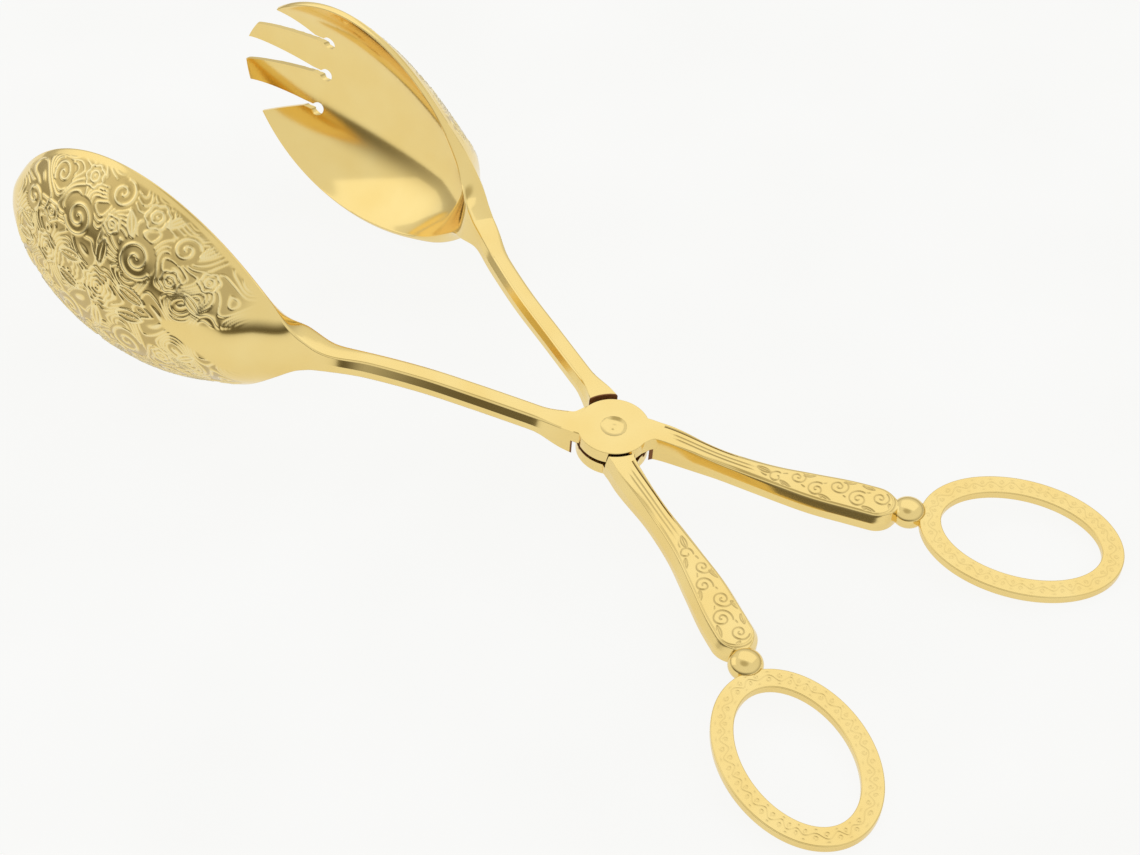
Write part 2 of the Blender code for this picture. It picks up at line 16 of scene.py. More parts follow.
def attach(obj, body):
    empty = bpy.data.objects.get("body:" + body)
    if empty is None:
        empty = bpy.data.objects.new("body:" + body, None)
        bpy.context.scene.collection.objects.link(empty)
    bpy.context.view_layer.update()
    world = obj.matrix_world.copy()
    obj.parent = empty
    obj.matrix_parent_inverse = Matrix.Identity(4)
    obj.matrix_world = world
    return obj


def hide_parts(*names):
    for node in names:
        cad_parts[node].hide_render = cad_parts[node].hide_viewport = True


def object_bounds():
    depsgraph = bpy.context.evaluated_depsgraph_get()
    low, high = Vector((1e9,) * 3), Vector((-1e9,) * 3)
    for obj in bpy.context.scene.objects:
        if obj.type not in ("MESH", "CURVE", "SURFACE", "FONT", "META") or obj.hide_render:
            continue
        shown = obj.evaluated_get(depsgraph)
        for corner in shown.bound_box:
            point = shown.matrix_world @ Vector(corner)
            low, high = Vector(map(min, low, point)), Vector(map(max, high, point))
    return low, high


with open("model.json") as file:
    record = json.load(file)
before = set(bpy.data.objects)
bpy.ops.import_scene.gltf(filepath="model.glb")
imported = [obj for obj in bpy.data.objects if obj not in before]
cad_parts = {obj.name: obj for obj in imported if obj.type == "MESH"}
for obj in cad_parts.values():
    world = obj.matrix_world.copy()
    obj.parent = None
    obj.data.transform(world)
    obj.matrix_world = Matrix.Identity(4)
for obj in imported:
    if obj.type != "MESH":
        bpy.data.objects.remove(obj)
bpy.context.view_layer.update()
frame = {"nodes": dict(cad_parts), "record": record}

mm = 0.001
fullTurn = 2 * pi
joint = frame["record"]["behaviour"]["joints"][0]
pivotPoint = np.array(joint["pos_m"])
pivotAxis = np.array(joint["axis"]) / np.linalg.norm(joint["axis"])
sideAxis = np.array([0.0, 1.0, 0.0])
armTurn = np.column_stack([np.cross(sideAxis, pivotAxis), sideAxis, pivotAxis])

forkSide = dict(
    name="fork", body="fork_side", node="fork_arm", slot="fork_gold", top=1.0,
    bareShadedUpTo=0.0,             # the brown patch of the lap, bare casting with painted shade in the gap, ends at the pivot
)
spoonSide = dict(
    name="spoon", body="spoon_side", node="spoon_arm", slot="spoon_gold", top=-1.0,
    bareShadedUpTo=20 * mm,         # here it runs all round
)
# edges that turn by more than this stay sharp in the shading
sharpAngles = dict(cast=radians(52), cut=radians(34), turned=radians(40))


# Meshes from grids

def gridMesh(name, side, points, relief=None, ends="fan", sharp=sharpAngles["cast"]):
    # rows of closed outlines joined by quads; the ends get a fan or a flat face, or the rows close in a ring;
    # from arm space a half turn about x for the spoon arm, then the pivot's tilt and place
    points = (points * np.array([1.0, side["top"], side["top"]])) @ armTurn.T + pivotPoint
    rows, columns, _ = points.shape
    index = np.arange(rows * columns).reshape(rows, columns)
    across = np.roll(index, -1, axis=1)
    quads = np.stack([index, across, np.roll(across, -1, axis=0), np.roll(index, -1, axis=0)], -1)
    quads = (quads if ends == "ring" else quads[:-1]).reshape(-1, 4)
    verts = points.reshape(-1, 3)
    faces = quads.tolist()
    if ends == "fan":
        verts = np.concatenate([verts, [points[0].mean(0), points[-1].mean(0)]])
        faces += np.stack([np.full(columns, rows * columns), across[0], index[0]], -1).tolist()
        faces += np.stack([np.full(columns, rows * columns + 1), index[-1], across[-1]], -1).tolist()
    elif ends == "flat":
        faces += [index[0, ::-1].tolist(), index[-1].tolist()]
    a, b, c, d = (verts[quads[:, k]] for k in range(4))
    if np.einsum("ij,ij->i", np.cross(c - a, d - b), (a + c) / 2 - verts.mean(0)).sum() < 0:
        faces = [face[::-1] for face in faces]
    mesh = bpy.data.meshes.new(name)
    mesh.from_pydata(verts.tolist(), [], faces)
    # the relief attribute is a colour mask: the gold paints a highlight on raised lines and shade in cut
    # lines and sunk ground
    if relief is not None:
        values = np.zeros(len(verts), np.float32)
        values[:relief.size] = relief.ravel()
        mesh.attributes.new("relief", "FLOAT", "POINT").data.foreach_set("value", values)
    mesh.shade_smooth()
    mesh.set_sharp_from_angle(angle=sharp)
    mesh.update()
    return mesh


def linked(name, data):
    # a new object in the scene that holds the mesh, light or camera
    thing = bpy.data.objects.new(name, data)
    bpy.context.scene.collection.objects.link(thing)
    return thing


def addPiece(name, mesh, side, material):
    # every piece of an arm rides on that arm's body and stands for its casting
    thing = linked(name, mesh)
    mesh.materials.clear()
    mesh.materials.append(material)
    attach(thing, side["body"])
    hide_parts(side["node"])


def addGrid(name, side, points, shape=None, ends="fan"):
    # a piece of plain gold straight from its grid
    addPiece(name, gridMesh(name, side, points, shape, ends), side, castGold)


def applied(name, body, steps):
    # the body's mesh after its modifiers: joins and cuts with other meshes, or a kind that needs none
    thing = linked(name, body)
    helpers = []
    for mesh, kind in steps:
        if mesh:
            step = thing.modifiers.new(kind, "BOOLEAN")
            step.operation = kind
            step.object = linked(name + "Helper", mesh)
            step.solver = "EXACT"
            helpers.append(step.object)
        else:
            thing.modifiers.new(kind, kind).keep_sharp = True
    graph = bpy.context.evaluated_depsgraph_get()
    result = bpy.data.meshes.new_from_object(thing.evaluated_get(graph))
    for extra in [thing, *helpers]:
        bpy.data.objects.remove(extra, do_unlink=True)
    return result


def carved(name, body, steps):
    # solid joins and cuts, worked out once and kept as a plain mesh whose normals follow its larger faces
    result = applied(name, body, steps)
    result.shade_smooth()
    result.set_sharp_from_angle(angle=sharpAngles["cut"])
    return applied(name, result, [(None, "WEIGHTED_NORMAL")])


# Small formulas

def ease(value):
    # smooth step: 3t^2 - 2t^3, with t held between 0 and 1
    value = np.clip(value, 0.0, 1.0)
    return value * value * (3.0 - 2.0 * value)


def ramp(value, start, full):
    # a smooth step from 0 at the start to 1 where it is full
    return ease((value - start) / (full - start))


def between(first, second, share):
    # the first value where the share is 0, the second where it is 1: a + (b - a) s
    return first + (second - first) * share


def hump(share, rise, fall):
    # s^rise times (1 - s)^fall, over its own highest value
    top = rise / (rise + fall)
    return share**rise * (1.0 - share) ** fall / (top**rise * (1.0 - top) ** fall)


def unit(vectors):
    # each vector over its own length
    return vectors / np.linalg.norm(vectors, axis=-1, keepdims=True)


def leftOf(directions):
    # plan directions after a quarter turn to the left: (-y, x)
    return np.stack([-directions[..., 1], directions[..., 0]], -1)


def heading(angle):
    # the plan direction that leaves x towards -y by the angle
    return np.array([cos(angle), -sin(angle)])


def distances(path):
    # how far each point lies along the path: the sum of the steps before it
    return np.concatenate([[0.0], np.cumsum(np.linalg.norm(np.diff(path, axis=0), axis=1))])


def smoothPath(points, steps):
    # Catmull-Rom curve through plan points, with the ends mirrored on
    ends = np.concatenate([[2 * points[0] - points[1]], points, [2 * points[-1] - points[-2]]])
    before, start, stop, after = (ends[k:len(ends) - 3 + k, None] for k in range(4))
    t = (np.arange(steps) / steps)[None, :, None]
    curve = start + (stop - before) * t / 2
    curve = curve + (2 * before - 5 * start + 4 * stop - after) * t**2 / 2
    curve = curve + (3 * start - before - 3 * stop + after) * t**3 / 2
    return np.concatenate([curve.reshape(-1, 2), points[-1:]])


def placeSections(centre, forward, lean, height, depth):
    # centre + tall * height + deep * depth, where tall leans backwards from upright
    back = unit(np.column_stack([leftOf(forward), np.zeros(len(forward))]))
    up = np.array([0.0, 0.0, 1.0])
    tall = up * np.cos(lean)[:, None] + back * np.sin(lean)[:, None]
    deep = back * np.cos(lean)[:, None] - up * np.sin(lean)[:, None]
    return centre[:, None] + tall[:, None] * height[..., None] + deep[:, None] * depth[..., None]


# Ornament, as heights between 0 and 1 over places in millimetres

def table(names, rows):
    # one dictionary for each row of values, with the names given once
    return [dict(zip(names.split(), row)) for row in rows]


def ridge(distance, width):
    # a soft line: exp(-(d / w)^2)
    return np.exp(-((distance / width) ** 2))


def spiralDistance(x, y, scroll):
    # distance to a spiral arm whose radius falls by one pitch in each turn, and which ends before the eye
    dx, dy = x - scroll["x"], y - scroll["y"]
    pitch = scroll["radius"] / scroll["turns"]
    angle = np.mod(scroll["hand"] * np.arctan2(dy, dx) - radians(scroll["start"]), fullTurn)
    outer = scroll["radius"] - pitch * angle / fullTurn
    reach = np.hypot(dx, dy)
    lap = np.clip(np.round((outer - reach) / pitch), 0, max(scroll["turns"] - 0.6, 0.4))
    return np.abs(reach - outer + np.floor(lap) * pitch)


def rosette(x, y, flower, pattern):
    # an eye inside evenly spaced rings, whose radius waves with the angle more and more outwards
    width, radius = pattern["lineWidth"], flower["radius"]
    reach = np.hypot(x - flower["x"], y - flower["y"])
    angle = np.arctan2(y - flower["y"], x - flower["x"])
    count = max(round(radius / pattern["ringSpacing"]), 1)
    value = ridge(reach, width * 1.2)
    for number in range(1, count + 1):
        wave = 1.0 + pattern["petalWave"] * number / count * np.cos(flower["petals"] * angle + number)
        value = np.maximum(value, ridge(reach - radius * number / count * wave, width))
    return value


def leafPlace(x, y, blade):
    # the share s along the midrib, the distance across from it, and the outline's half width W (1 - s^2)
    turn = radians(blade["angle"])
    dx, dy = x - blade["x"], y - blade["y"]
    share = (dx * cos(turn) + dy * sin(turn)) / blade["half"]
    across = np.abs(dy * cos(turn) - dx * sin(turn))
    return share, across, blade["wide"] * np.clip(1.0 - share**2, 0.0, None)


def leaf(x, y, blade, width):
    # the outline and a thinner midrib, which fade out at the leaf's ends
    share, across, outline = leafPlace(x, y, blade)
    value = np.maximum(ridge(across - outline, width), ridge(across, width * 0.8))
    return value * ease((1.06 - np.abs(share)) * 8)


def contourLines(x, y, pattern):
    # winding lines of even width: how far a sum of bent sines is from a whole number, over its steepness;
    # the sines' numbers only set how the lines wander
    def waves(x, y):
        bentX = x + 1.1 * np.sin(0.52 * y + 1.3) + 0.5 * np.sin(0.83 * x)
        bentY = y + 0.9 * np.sin(0.47 * x + 0.6)
        total = np.sin(0.43 * bentX) + np.sin(0.49 * bentY + 1.1) + 0.7 * np.sin(0.33 * (bentX + bentY))
        return pattern["contours"] * total

    step, leastSlope = 0.02, 0.35
    value = waves(x, y)
    steepness = np.hypot(waves(x + step, y) - value, waves(x, y + step) - value) / step
    away = np.abs(value - np.round(value)) / np.maximum(steepness, leastSlope)
    return ridge(away, pattern["lineWidth"] * 0.8)


backPattern = dict(          # along the bowl from the neck, and across its back from the keel to both sides
    lineWidth=0.35,
    scrolls=table("x y radius turns hand start", [
        (41.5, 12.4, 5.0, 2.0, 1, 205), (60.5, 13.4, 4.6, 2.0, -1, 25), (51.8, 24.2, 3.7, 1.7, 1, 80),
        (31.0, 19.4, 3.3, 1.7, -1, 200), (70.4, 19.2, 3.2, 1.6, 1, 300), (76.8, 9.0, 3.1, 1.6, -1, 120),
    ]),
    flowers=table("x y radius petals", [
        (50.5, 0.0, 4.6, 7), (68.8, 0.0, 3.6, 6), (41.0, 23.4, 2.9, 6), (61.2, 23.6, 2.6, 7),
        (69.2, 9.8, 2.3, 5), (31.4, 11.2, 2.5, 6), (50.6, 16.6, 2.0, 5), (22.8, 14.4, 2.2, 6),
    ]),
    leaves=table("x y angle half wide", [
        (50.8, 9.4, 90, 3.8, 1.4), (40.4, 3.0, 12, 4.4, 1.6), (60.2, 3.4, -12, 4.2, 1.5),
        (77.8, 2.2, 8, 3.6, 1.2), (46.0, 19.2, 58, 3.4, 1.1), (36.0, 24.6, 128, 3.2, 1.0),
        (26.0, 21.4, 120, 3.0, 0.9), (24.6, 8.0, 36, 3.2, 1.1),
    ]),
    ringSpacing=1.3, petalWave=0.09,
    contours=1.5, contourHeight=0.85,
    clearing=0.55,       # bare width round each motif
    clearingEdge=0.4, flowerRoom=1.08, leafRoom=1.1,
    lanceTip=31.0,       # the plain lance from the neck ends here
    lanceSlope=0.30, lanceMargin=0.6,
    border=1.1,          # bare width along the rim
    borderFade=1.2, tipMargin=5.0, tipFade=3.0, neckMargin=11.0, neckFade=6.0,
    groundShade=0.4,          # painted shade on the sunk ground between the motifs: how dark it is
)


def backRelief(x, y, edge, length, pattern):
    # each motif over winding lines, with bare metal round it, and all of it cleared at the neck, tip and rim;
    # the second value is painted shade on the sunk ground between the lines
    far, width, soft = np.abs(y), pattern["lineWidth"], pattern["clearingEdge"]
    motifs = [(one, one["radius"], ridge(spiralDistance(x, far, one), width)) for one in pattern["scrolls"]]
    for one in pattern["flowers"]:
        motifs.append((one, one["radius"] * pattern["flowerRoom"], rosette(x, far, one, pattern)))
    field = contourLines(x, far, pattern) * pattern["contourHeight"]
    for one, radius, value in motifs:
        inside = ease((radius + pattern["clearing"] - np.hypot(x - one["x"], far - one["y"])) / soft)
        field = field * (1.0 - inside) + value * inside
    for blade in pattern["leaves"]:
        share, across, outline = leafPlace(x, far, blade)
        inside = ease((outline + pattern["clearing"] - across) / soft)
        inside = inside * ease(blade["half"] * (pattern["leafRoom"] - np.abs(share)) / soft)
        field = field * (1.0 - inside) + leaf(x, far, blade, width) * inside
    lance = far - (pattern["lanceTip"] - x) * pattern["lanceSlope"]
    beside = ease((lance - pattern["lanceMargin"]) / pattern["borderFade"])
    shown = np.where(x < pattern["lanceTip"], beside, 1.0)
    shown = shown * ease((edge - far - pattern["border"]) / pattern["borderFade"])
    shown = shown * ease((length - pattern["tipMargin"] - x) / pattern["tipFade"])
    shown = shown * ease((x - pattern["neckMargin"]) / pattern["neckFade"])
    return field * shown, shown * (1.0 - field) * pattern["groundShade"]


# Jaws: bowl, neck and shank in one skin

jaw = dict(
    depth=12.2 * mm, wall=1.5 * mm, rimSweep=1.7 * mm, rimRound=0.32 * mm, rimSteps=8,
    lean=radians(11.6), splay=radians(4.6), drop=2.1 * mm,
    outlineRise=0.80, outlineFall=0.596, depthRise=0.55, power=2.6,
    firstShare=0.008, tipShare=0.99915, rowCrowding=0.3, columnCrowding=0.2,
)
neck = dict(
    reach=68.2 * mm, spread=30.6 * mm, sag=1.8 * mm, lift=1.9 * mm, blend=13 * mm,
    thinning=16 * mm, widening=25 * mm, takeOver=8 * mm, flare=18 * mm, width=6.0 * mm,
    turnOver=10 * mm,
)
shank = dict(
    thickness=4.1 * mm, round=0.42 * mm, settleShare=0.55, lift=1.1 * mm, topTaper=0.36,
    taperRun=16 * mm,
    xShares=(0.0, 0.066, 0.14, 0.275, 0.44, 0.62, 0.80, 0.92),
    yShares=(0.0, 0.108, 0.198, 0.300, 0.425, 0.565, 0.735, 0.876),
)
hub = dict(
    radius=8.3 * mm, thickness=7.3 * mm, armWidth=6.2 * mm, fade=18 * mm, proud=0.01 * mm,
    innerFillet=2.2 * mm, outerFillet=0.55 * mm, filletFrom=6.5 * mm, filletTo=10.2 * mm,
    edge=0.2 * mm, rimRound=0.2 * mm, rimSteps=6, seam=11 * mm, lapFace=0.5 * mm,
    clearance=1.05 * mm, offset=0.2 * mm, offsetTowards=(-0.91, 0.41),
    bore=2.3 * mm, dimple=3.0 * mm, dimpleDepth=0.7 * mm, overrun=2 * mm,
    discPole=0.3 * mm, cutPole=0.2 * mm, discSteps=128, cutSteps=90,
    stubSteps=12, stubColumns=14, stubTop=12, stubGap=0.1 * mm, handleStride=6,
)
spoonBowl = dict(
    length=89.8 * mm, halfWidth=25.54 * mm, depthFall=0.52, shankWidth=5.7 * mm,
    rows=300, shankRows=40, backColumns=236, frontColumns=28, relief=0.30 * mm,
)
forkBowl = dict(
    length=88.2 * mm, halfWidth=26.54 * mm, depthFall=0.78, shankWidth=5.2 * mm,
    rows=200, shankRows=40, backColumns=130, frontColumns=56, relief=0.24 * mm,
)
neckPlace = np.array([-neck["reach"], neck["spread"]])
bowlForward = heading(jaw["splay"])          # from the tip to the neck, in plan


def bowlLine(reach):
    # the rim line's plan points, sagging forwards by a square law near the neck
    sag = neck["sag"] * np.maximum(1.0 - reach / neck["blend"], 0.0) ** 2
    return neckPlace - bowlForward * reach[:, None] - leftOf(bowlForward) * sag[:, None]


def bowlOutline(bowl, reach):
    # half the bowl's outline; nearer the neck than "takeOver" a parabola with the same slope runs it out
    def own(reach):
        return bowl["halfWidth"] * hump(reach / bowl["length"], jaw["outlineRise"], jaw["outlineFall"])

    start = neck["takeOver"]
    slope = (own(start * 1.01) - own(start * 0.99)) / (start * 0.02)
    vertex = start - 2 * own(start) / slope
    flared = own(start) * (np.maximum(reach - vertex, 0.0) / (start - vertex)) ** 2
    return np.where(reach > start, own(np.maximum(reach, start)), flared)


def hubFillets(away):
    # extra width that runs an arm's inner and outer side out to the disc, by a smooth step of the distance
    # to the pivot; the outer ones are small, so that the arms clear each other when wide open
    share = ramp(away, hub["filletTo"], hub["filletFrom"])
    return hub["innerFillet"] * share, hub["outerFillet"] * share


def armSizes(away, fade, width, thickness):
    # how far the hub's sizes hold at a distance from the pivot, by a smooth step, and the arm's sizes there
    share = ramp(away, fade, hub["radius"])
    thick = between(thickness, hub["thickness"] - 2 * hub["proud"], share)
    return share, between(width, hub["armWidth"], share), thick


def shankRows(bowl, side, count):
    # path, tangents and section sizes from the neck to the pivot, fading to hub and neck sizes
    points = np.column_stack([shank["xShares"], shank["yShares"]]) * neckPlace
    path = smoothPath(np.concatenate([points, bowlLine(np.zeros(1))])[::-1], count)
    forward = np.gradient(path, axis=0)
    away = np.linalg.norm(path, axis=1)
    down = np.linalg.norm(path - path[0], axis=1)
    hubShare, width, thick = armSizes(away, hub["fade"], bowl["shankWidth"], shank["thickness"])
    inner, outer = hubFillets(away)
    neckShare = ramp(down, neck["flare"], 0.0)
    settle = 1.0 - ease(np.linspace(0.0, 1.0, len(path)) / shank["settleShare"])
    path = path + unit(leftOf(forward)) * (outer - inner)[:, None] / 2
    drop = (jaw["drop"] - neck["lift"]) * settle - shank["lift"] * (1.0 - settle) * (1.0 - hubShare)
    return {
        "centre": np.column_stack([path, -side["top"] * drop]), "forward": forward, "away": away,
        "lean": jaw["lean"] * settle, "halfHeight": np.hypot(thick, 2 * bowlOutline(bowl, -down)) / 2,
        "width": width + (neck["width"] - bowl["shankWidth"]) * neckShare + inner + outer,
        "depth": np.zeros(len(path)), "corner": between(shank["round"], hub["edge"], hubShare),
        "taper": shank["topTaper"] * ease(down / shank["taperRun"]) * (1.0 - hubShare),
        "reach": np.full(len(path), -1.0),
    }


def bowlRows(bowl, side, neckForward):
    # rows from tip to neck, spaced closer at both ends, with the wall thickening into the neck
    even = np.linspace(1.0, 0.0, bowl["rows"])
    share = between(even, (1.0 - np.cos(pi * even)) / 2, jaw["rowCrowding"])
    share = between(jaw["firstShare"], jaw["tipShare"], share)
    reach = share * bowl["length"]
    near = ramp(reach, neck["thinning"], 0.0)
    wide = ramp(reach, neck["widening"], 0.0)
    sweep = jaw["rimSweep"] * hump(share, 1, 1)
    line = bowlLine(reach)
    turn = ramp(reach, neck["turnOver"], 0.0)[:, None]
    return {
        "centre": np.column_stack([
            line[:, 0], line[:, 1] + sweep, -side["top"] * (jaw["drop"] - neck["lift"] * near),
        ]),
        "forward": between(bowlForward, neckForward, turn), "lean": np.full(len(share), jaw["lean"]),
        "halfHeight": np.hypot(bowlOutline(bowl, reach), shank["thickness"] / 2 * near),
        "width": between(jaw["wall"], neck["width"], wide),
        "depth": jaw["depth"] * hump(share, jaw["depthRise"], bowl["depthFall"]) * (1.0 - near),
        "corner": between(jaw["rimRound"], shank["round"], near),
        "taper": np.zeros(len(share)), "reach": reach,
    }


def wallPoints(rows, across, offset):
    # the wall's middle bulges back by depth (1 - |a|^power), and points stand off it along its normal
    halfHeight, depth = rows["halfHeight"][:, None], rows["depth"][:, None]
    far = np.abs(across)
    slope = -depth * jaw["power"] * far ** (jaw["power"] - 1.0) * np.sign(across) / halfHeight
    length = np.sqrt(1.0 + slope**2)
    height = halfHeight * across - slope / length * offset
    return height, depth * (1.0 - far ** jaw["power"]) + offset / length


def jawSections(rows, bowl, side):
    # closed outlines: back wall with its relief, top rim, front wall, bottom rim
    def crowded(values):
        # places from -1 to 1, drawn together at both ends: (1 - c) v + c sin(v pi / 2)
        return between(values, np.sin(pi / 2 * values), jaw["columnCrowding"])

    half = rows["width"][:, None] / 2
    corner = np.minimum(rows["corner"], np.minimum(rows["halfHeight"] / 2, rows["width"] / 4))[:, None]
    inset = corner / rows["halfHeight"][:, None]
    backAcross = crowded(np.linspace(-1.0, 1.0, bowl["backColumns"])[None]) * (1.0 - inset)
    frontAcross = crowded(np.linspace(1.0, -1.0, bowl["frontColumns"])[None]) * (1.0 - inset)
    turn = pi * (0.5 - np.arange(1, jaw["rimSteps"]) / jaw["rimSteps"])[None]
    outward = np.sqrt(np.cos(turn))
    sideways = np.sign(np.sin(turn)) * np.sqrt(np.abs(np.sin(turn)))
    rimAcross = 1.0 - inset + inset * outward
    height, depth = wallPoints(rows, backAcross, half * np.ones_like(backAcross))
    steps = np.hypot(np.diff(height, axis=1), np.diff(depth, axis=1))
    arc = np.concatenate([np.zeros((len(height), 1)), np.cumsum(steps, axis=1)], axis=1)
    arc = (arc - arc[:, -1:] / 2) / mm
    reach = rows["reach"][:, None] / mm
    onBowl = reach > 0
    relief, groundShade = backRelief(reach, arc, arc[:, -1:], bowl["length"] / mm, backPattern)
    relief, groundShade = np.where(onBowl, relief, 0.0), np.where(onBowl, groundShade, 0.0)
    parts = [
        (backAcross, half + relief * bowl["relief"]),
        (rimAcross, half * sideways),
        (frontAcross, -half * np.ones_like(frontAcross)),
        (-rimAcross, -half * sideways),
    ]
    placed = [wallPoints(rows, across, offset) for across, offset in parts]
    height, depth = (np.concatenate([pair[k] for pair in placed], axis=1) for k in range(2))
    upper = np.maximum(side["top"] * height / rows["halfHeight"][:, None], 0.0)
    depth = depth * (1.0 - rows["taper"][:, None] * upper)
    # colour mask: a painted highlight on the raised relief, painted shade on the sunk ground
    shape = np.zeros(height.shape)
    shape[:, :relief.shape[1]] = relief - groundShade
    return placeSections(rows["centre"], rows["forward"], rows["lean"], height, depth), shape


def joinedRows(first, second):
    # the rows of the first and then of the second, for every measure that both have
    return {key: np.concatenate([first[key], second[key]]) for key in first if key in second}


def pick(rows, keep):
    # the rows at the given numbers, or where the given values are true
    return {key: value[keep] for key, value in rows.items()}


def jawPoints(bowl, side):
    # bowl rows, then shank rows down to the hub's seam
    run = shankRows(bowl, side, bowl["shankRows"])
    outside = run["away"] > hub["seam"]
    kept = np.flatnonzero(outside & (np.arange(len(outside)) > bowl["shankRows"] // 3))
    stride = kept[:: max(len(kept) // bowl["shankRows"], 1)]
    seam = np.flatnonzero(outside)[-1]
    shankPart = pick(run, np.append(stride[stride < seam], seam))
    bowlPart = bowlRows(bowl, side, unit(run["forward"][0]))
    return jawSections(joinedRows(bowlPart, shankPart), bowl, side)


slots = dict(
    bulb=1.7 * mm, neckWidth=1.5 * mm, root=67.6 * mm, neckLength=3.8 * mm, fall=0.5 * mm,
    overrun=2 * mm, steps=28,
    cuts=[          # name, and places across the bowl: the round end's middle, the mouth's two sides
        ("middleSlot", 0.0, -3.8 * mm, 3.8 * mm),
        ("upperSlot", 10.1 * mm, 8.0 * mm, 21.3 * mm),
        ("lowerSlot", -10.1 * mm, -21.3 * mm, -8.0 * mm),
    ],
)


def slotCutter(name, middle, low, high):
    # a keyhole outline in the bowl's plane, pushed through from front to back
    half, bulb, root = slots["neckWidth"] / 2, slots["bulb"], slots["root"]
    opening = asin(half / bulb)
    turn = np.linspace(opening, fullTurn - opening, slots["steps"])
    mouth, neckEnd = forkBowl["length"] + slots["overrun"], root + slots["neckLength"]
    outline = np.concatenate([
        np.column_stack([root + bulb * np.cos(turn), middle + bulb * np.sin(turn)]),
        [[neckEnd, middle - half], [mouth, low - slots["fall"]]],
        [[mouth, high - slots["fall"]], [neckEnd, middle + half]],
    ])
    count = len(outline)
    centre = np.column_stack([neckPlace - bowlForward * outline[:, :1], np.full(count, -jaw["drop"])])
    forward, lean = np.repeat([bowlForward], count, axis=0), np.full(count, jaw["lean"])
    far = jaw["depth"] + 2 * slots["overrun"]
    faces = [
        placeSections(centre, forward, lean, outline[:, 1:], np.full((count, 1), back))[:, 0]
        for back in (-far, far)
    ]
    return gridMesh(name, forkSide, np.stack(faces), ends="flat")


# Handles

handle = dict(
    reach=60.6 * mm, spread=27.2 * mm, width=10.4 * mm, thickness=5.1 * mm, drop=0.5 * mm,
    crown=0.3 * mm, topInset=1.2 * mm, mostInset=0.3, shoulderShare=0.05, foot=0.8 * mm, mostFoot=0.4,
    cornerCut=0.3 * mm, sharpening=0.6, engraving=0.13 * mm, cutShadeStrength=0.5,
    flare=0.4 * mm, flareFrom=9.5 * mm, flareFull=22 * mm, flareTo=40 * mm, fade=28 * mm,
    xShares=(0.0, 0.07, 0.165, 0.34, 0.525, 0.707, 0.843, 1.0),
    yShares=(0.0, 0.135, 0.25, 0.37, 0.52, 0.695, 0.845, 1.0),
    widthPlaces=(0.15, 0.34, 0.52, 0.70, 0.84, 1.0),
    widthShares=(0.56, 0.53, 0.66, 0.90, 1.0, 1.0),
    stepsPerSpan=56, swellSteps=24, endRows=46, endTurn=0.985, topColumns=66,
)
handlePattern = dict(        # along the handle from the pivot, and across it from its middle
    lineWidth=0.17,
    rules=[            # share of the half width, start, end, strength
        (0.56, 9.0, 31.0, 2.0), (0.10, 12.0, 35.0, 0.6), (-0.22, 13.0, 35.0, 0.6),
    ],
    ruleRise=3.0, ruleFall=4.0,
    frameFrom=27.0, frameRise=5.0, frameInset=0.85, frameGap=0.55, innerFrame=0.6,
    vineFrom=34.0, vineTo=62.0, vineFade=2.0, vineWave=9.4, vineSwing=0.30, vineRoom=0.15,
    frameDepth=0.7, vineDepth=0.7, scrollDepth=0.85, leafDepth=0.8,
    clearing=0.45, clearingEdge=0.3,
    scrolls=table("x y radius turns hand start", [
        (38.6, -0.7, 1.7, 1.5, 1, 60), (43.3, 1.0, 2.0, 1.6, -1, -60), (48.0, -1.1, 2.2, 1.7, 1, 60),
        (52.7, 1.2, 2.4, 1.8, -1, -60), (57.6, -1.1, 2.5, 1.9, 1, 60), (62.3, 0.8, 2.2, 1.7, -1, -60),
    ]),
    leaves=table("x y angle half wide", [
        (35.6, 0.4, -10, 1.9, 0.6), (41.0, -2.0, -25, 1.5, 0.4), (45.8, 2.5, 25, 1.5, 0.45),
        (50.3, -3.0, -25, 1.7, 0.45), (55.2, 3.4, 22, 1.7, 0.5), (60.4, -3.2, -12, 1.7, 0.45),
        (59.2, 3.1, -8, 1.5, 0.45), (65.2, -1.2, -50, 1.4, 0.45),
    ]),
)
handleEnd = np.array([handle["reach"], -handle["spread"]])


def handleEngraving(s, t, edge, pattern):
    # cut lines: tapering rules, a double frame that follows the edge, and a vine between curled scrolls
    width, gap = pattern["lineWidth"], pattern["frameGap"]
    field = np.zeros(np.broadcast(s, t).shape)
    for share, start, stop, strength in pattern["rules"]:
        rule = ridge(t - edge * share, width) * ease((s - start) / pattern["ruleRise"])
        field = np.maximum(field, rule * ease((stop - s) / pattern["ruleFall"]) * strength)
    inner = edge - np.abs(t) - pattern["frameInset"]
    framing = np.maximum(ridge(inner, width), pattern["innerFrame"] * ridge(inner - gap, width * 0.8))
    rise = ease((s - pattern["frameFrom"]) / pattern["frameRise"])
    field = np.maximum(field, framing * pattern["frameDepth"] * rise)
    inside = ease((inner - gap - pattern["vineRoom"]) * 3)
    along, left = s - pattern["vineFrom"], pattern["vineTo"] - s
    vine = ridge(t + edge * pattern["vineSwing"] * np.sin(fullTurn * along / pattern["vineWave"]), width)
    vine = vine * ease(along / pattern["vineFade"]) * ease(left / pattern["vineFade"])
    field = np.maximum(field, pattern["vineDepth"] * vine * inside)
    for scroll in pattern["scrolls"]:
        reach = np.hypot(s - scroll["x"], t - scroll["y"])
        within = ease((scroll["radius"] + pattern["clearing"] - reach) / pattern["clearingEdge"])
        line = pattern["scrollDepth"] * ridge(spiralDistance(s, t, scroll), width)
        field = field * (1.0 - within * inside) + line * within * inside
    for blade in pattern["leaves"]:
        field = np.maximum(field, pattern["leafDepth"] * leaf(s, t, blade, width * 0.9) * inside)
    return field


cornerPoints = 5


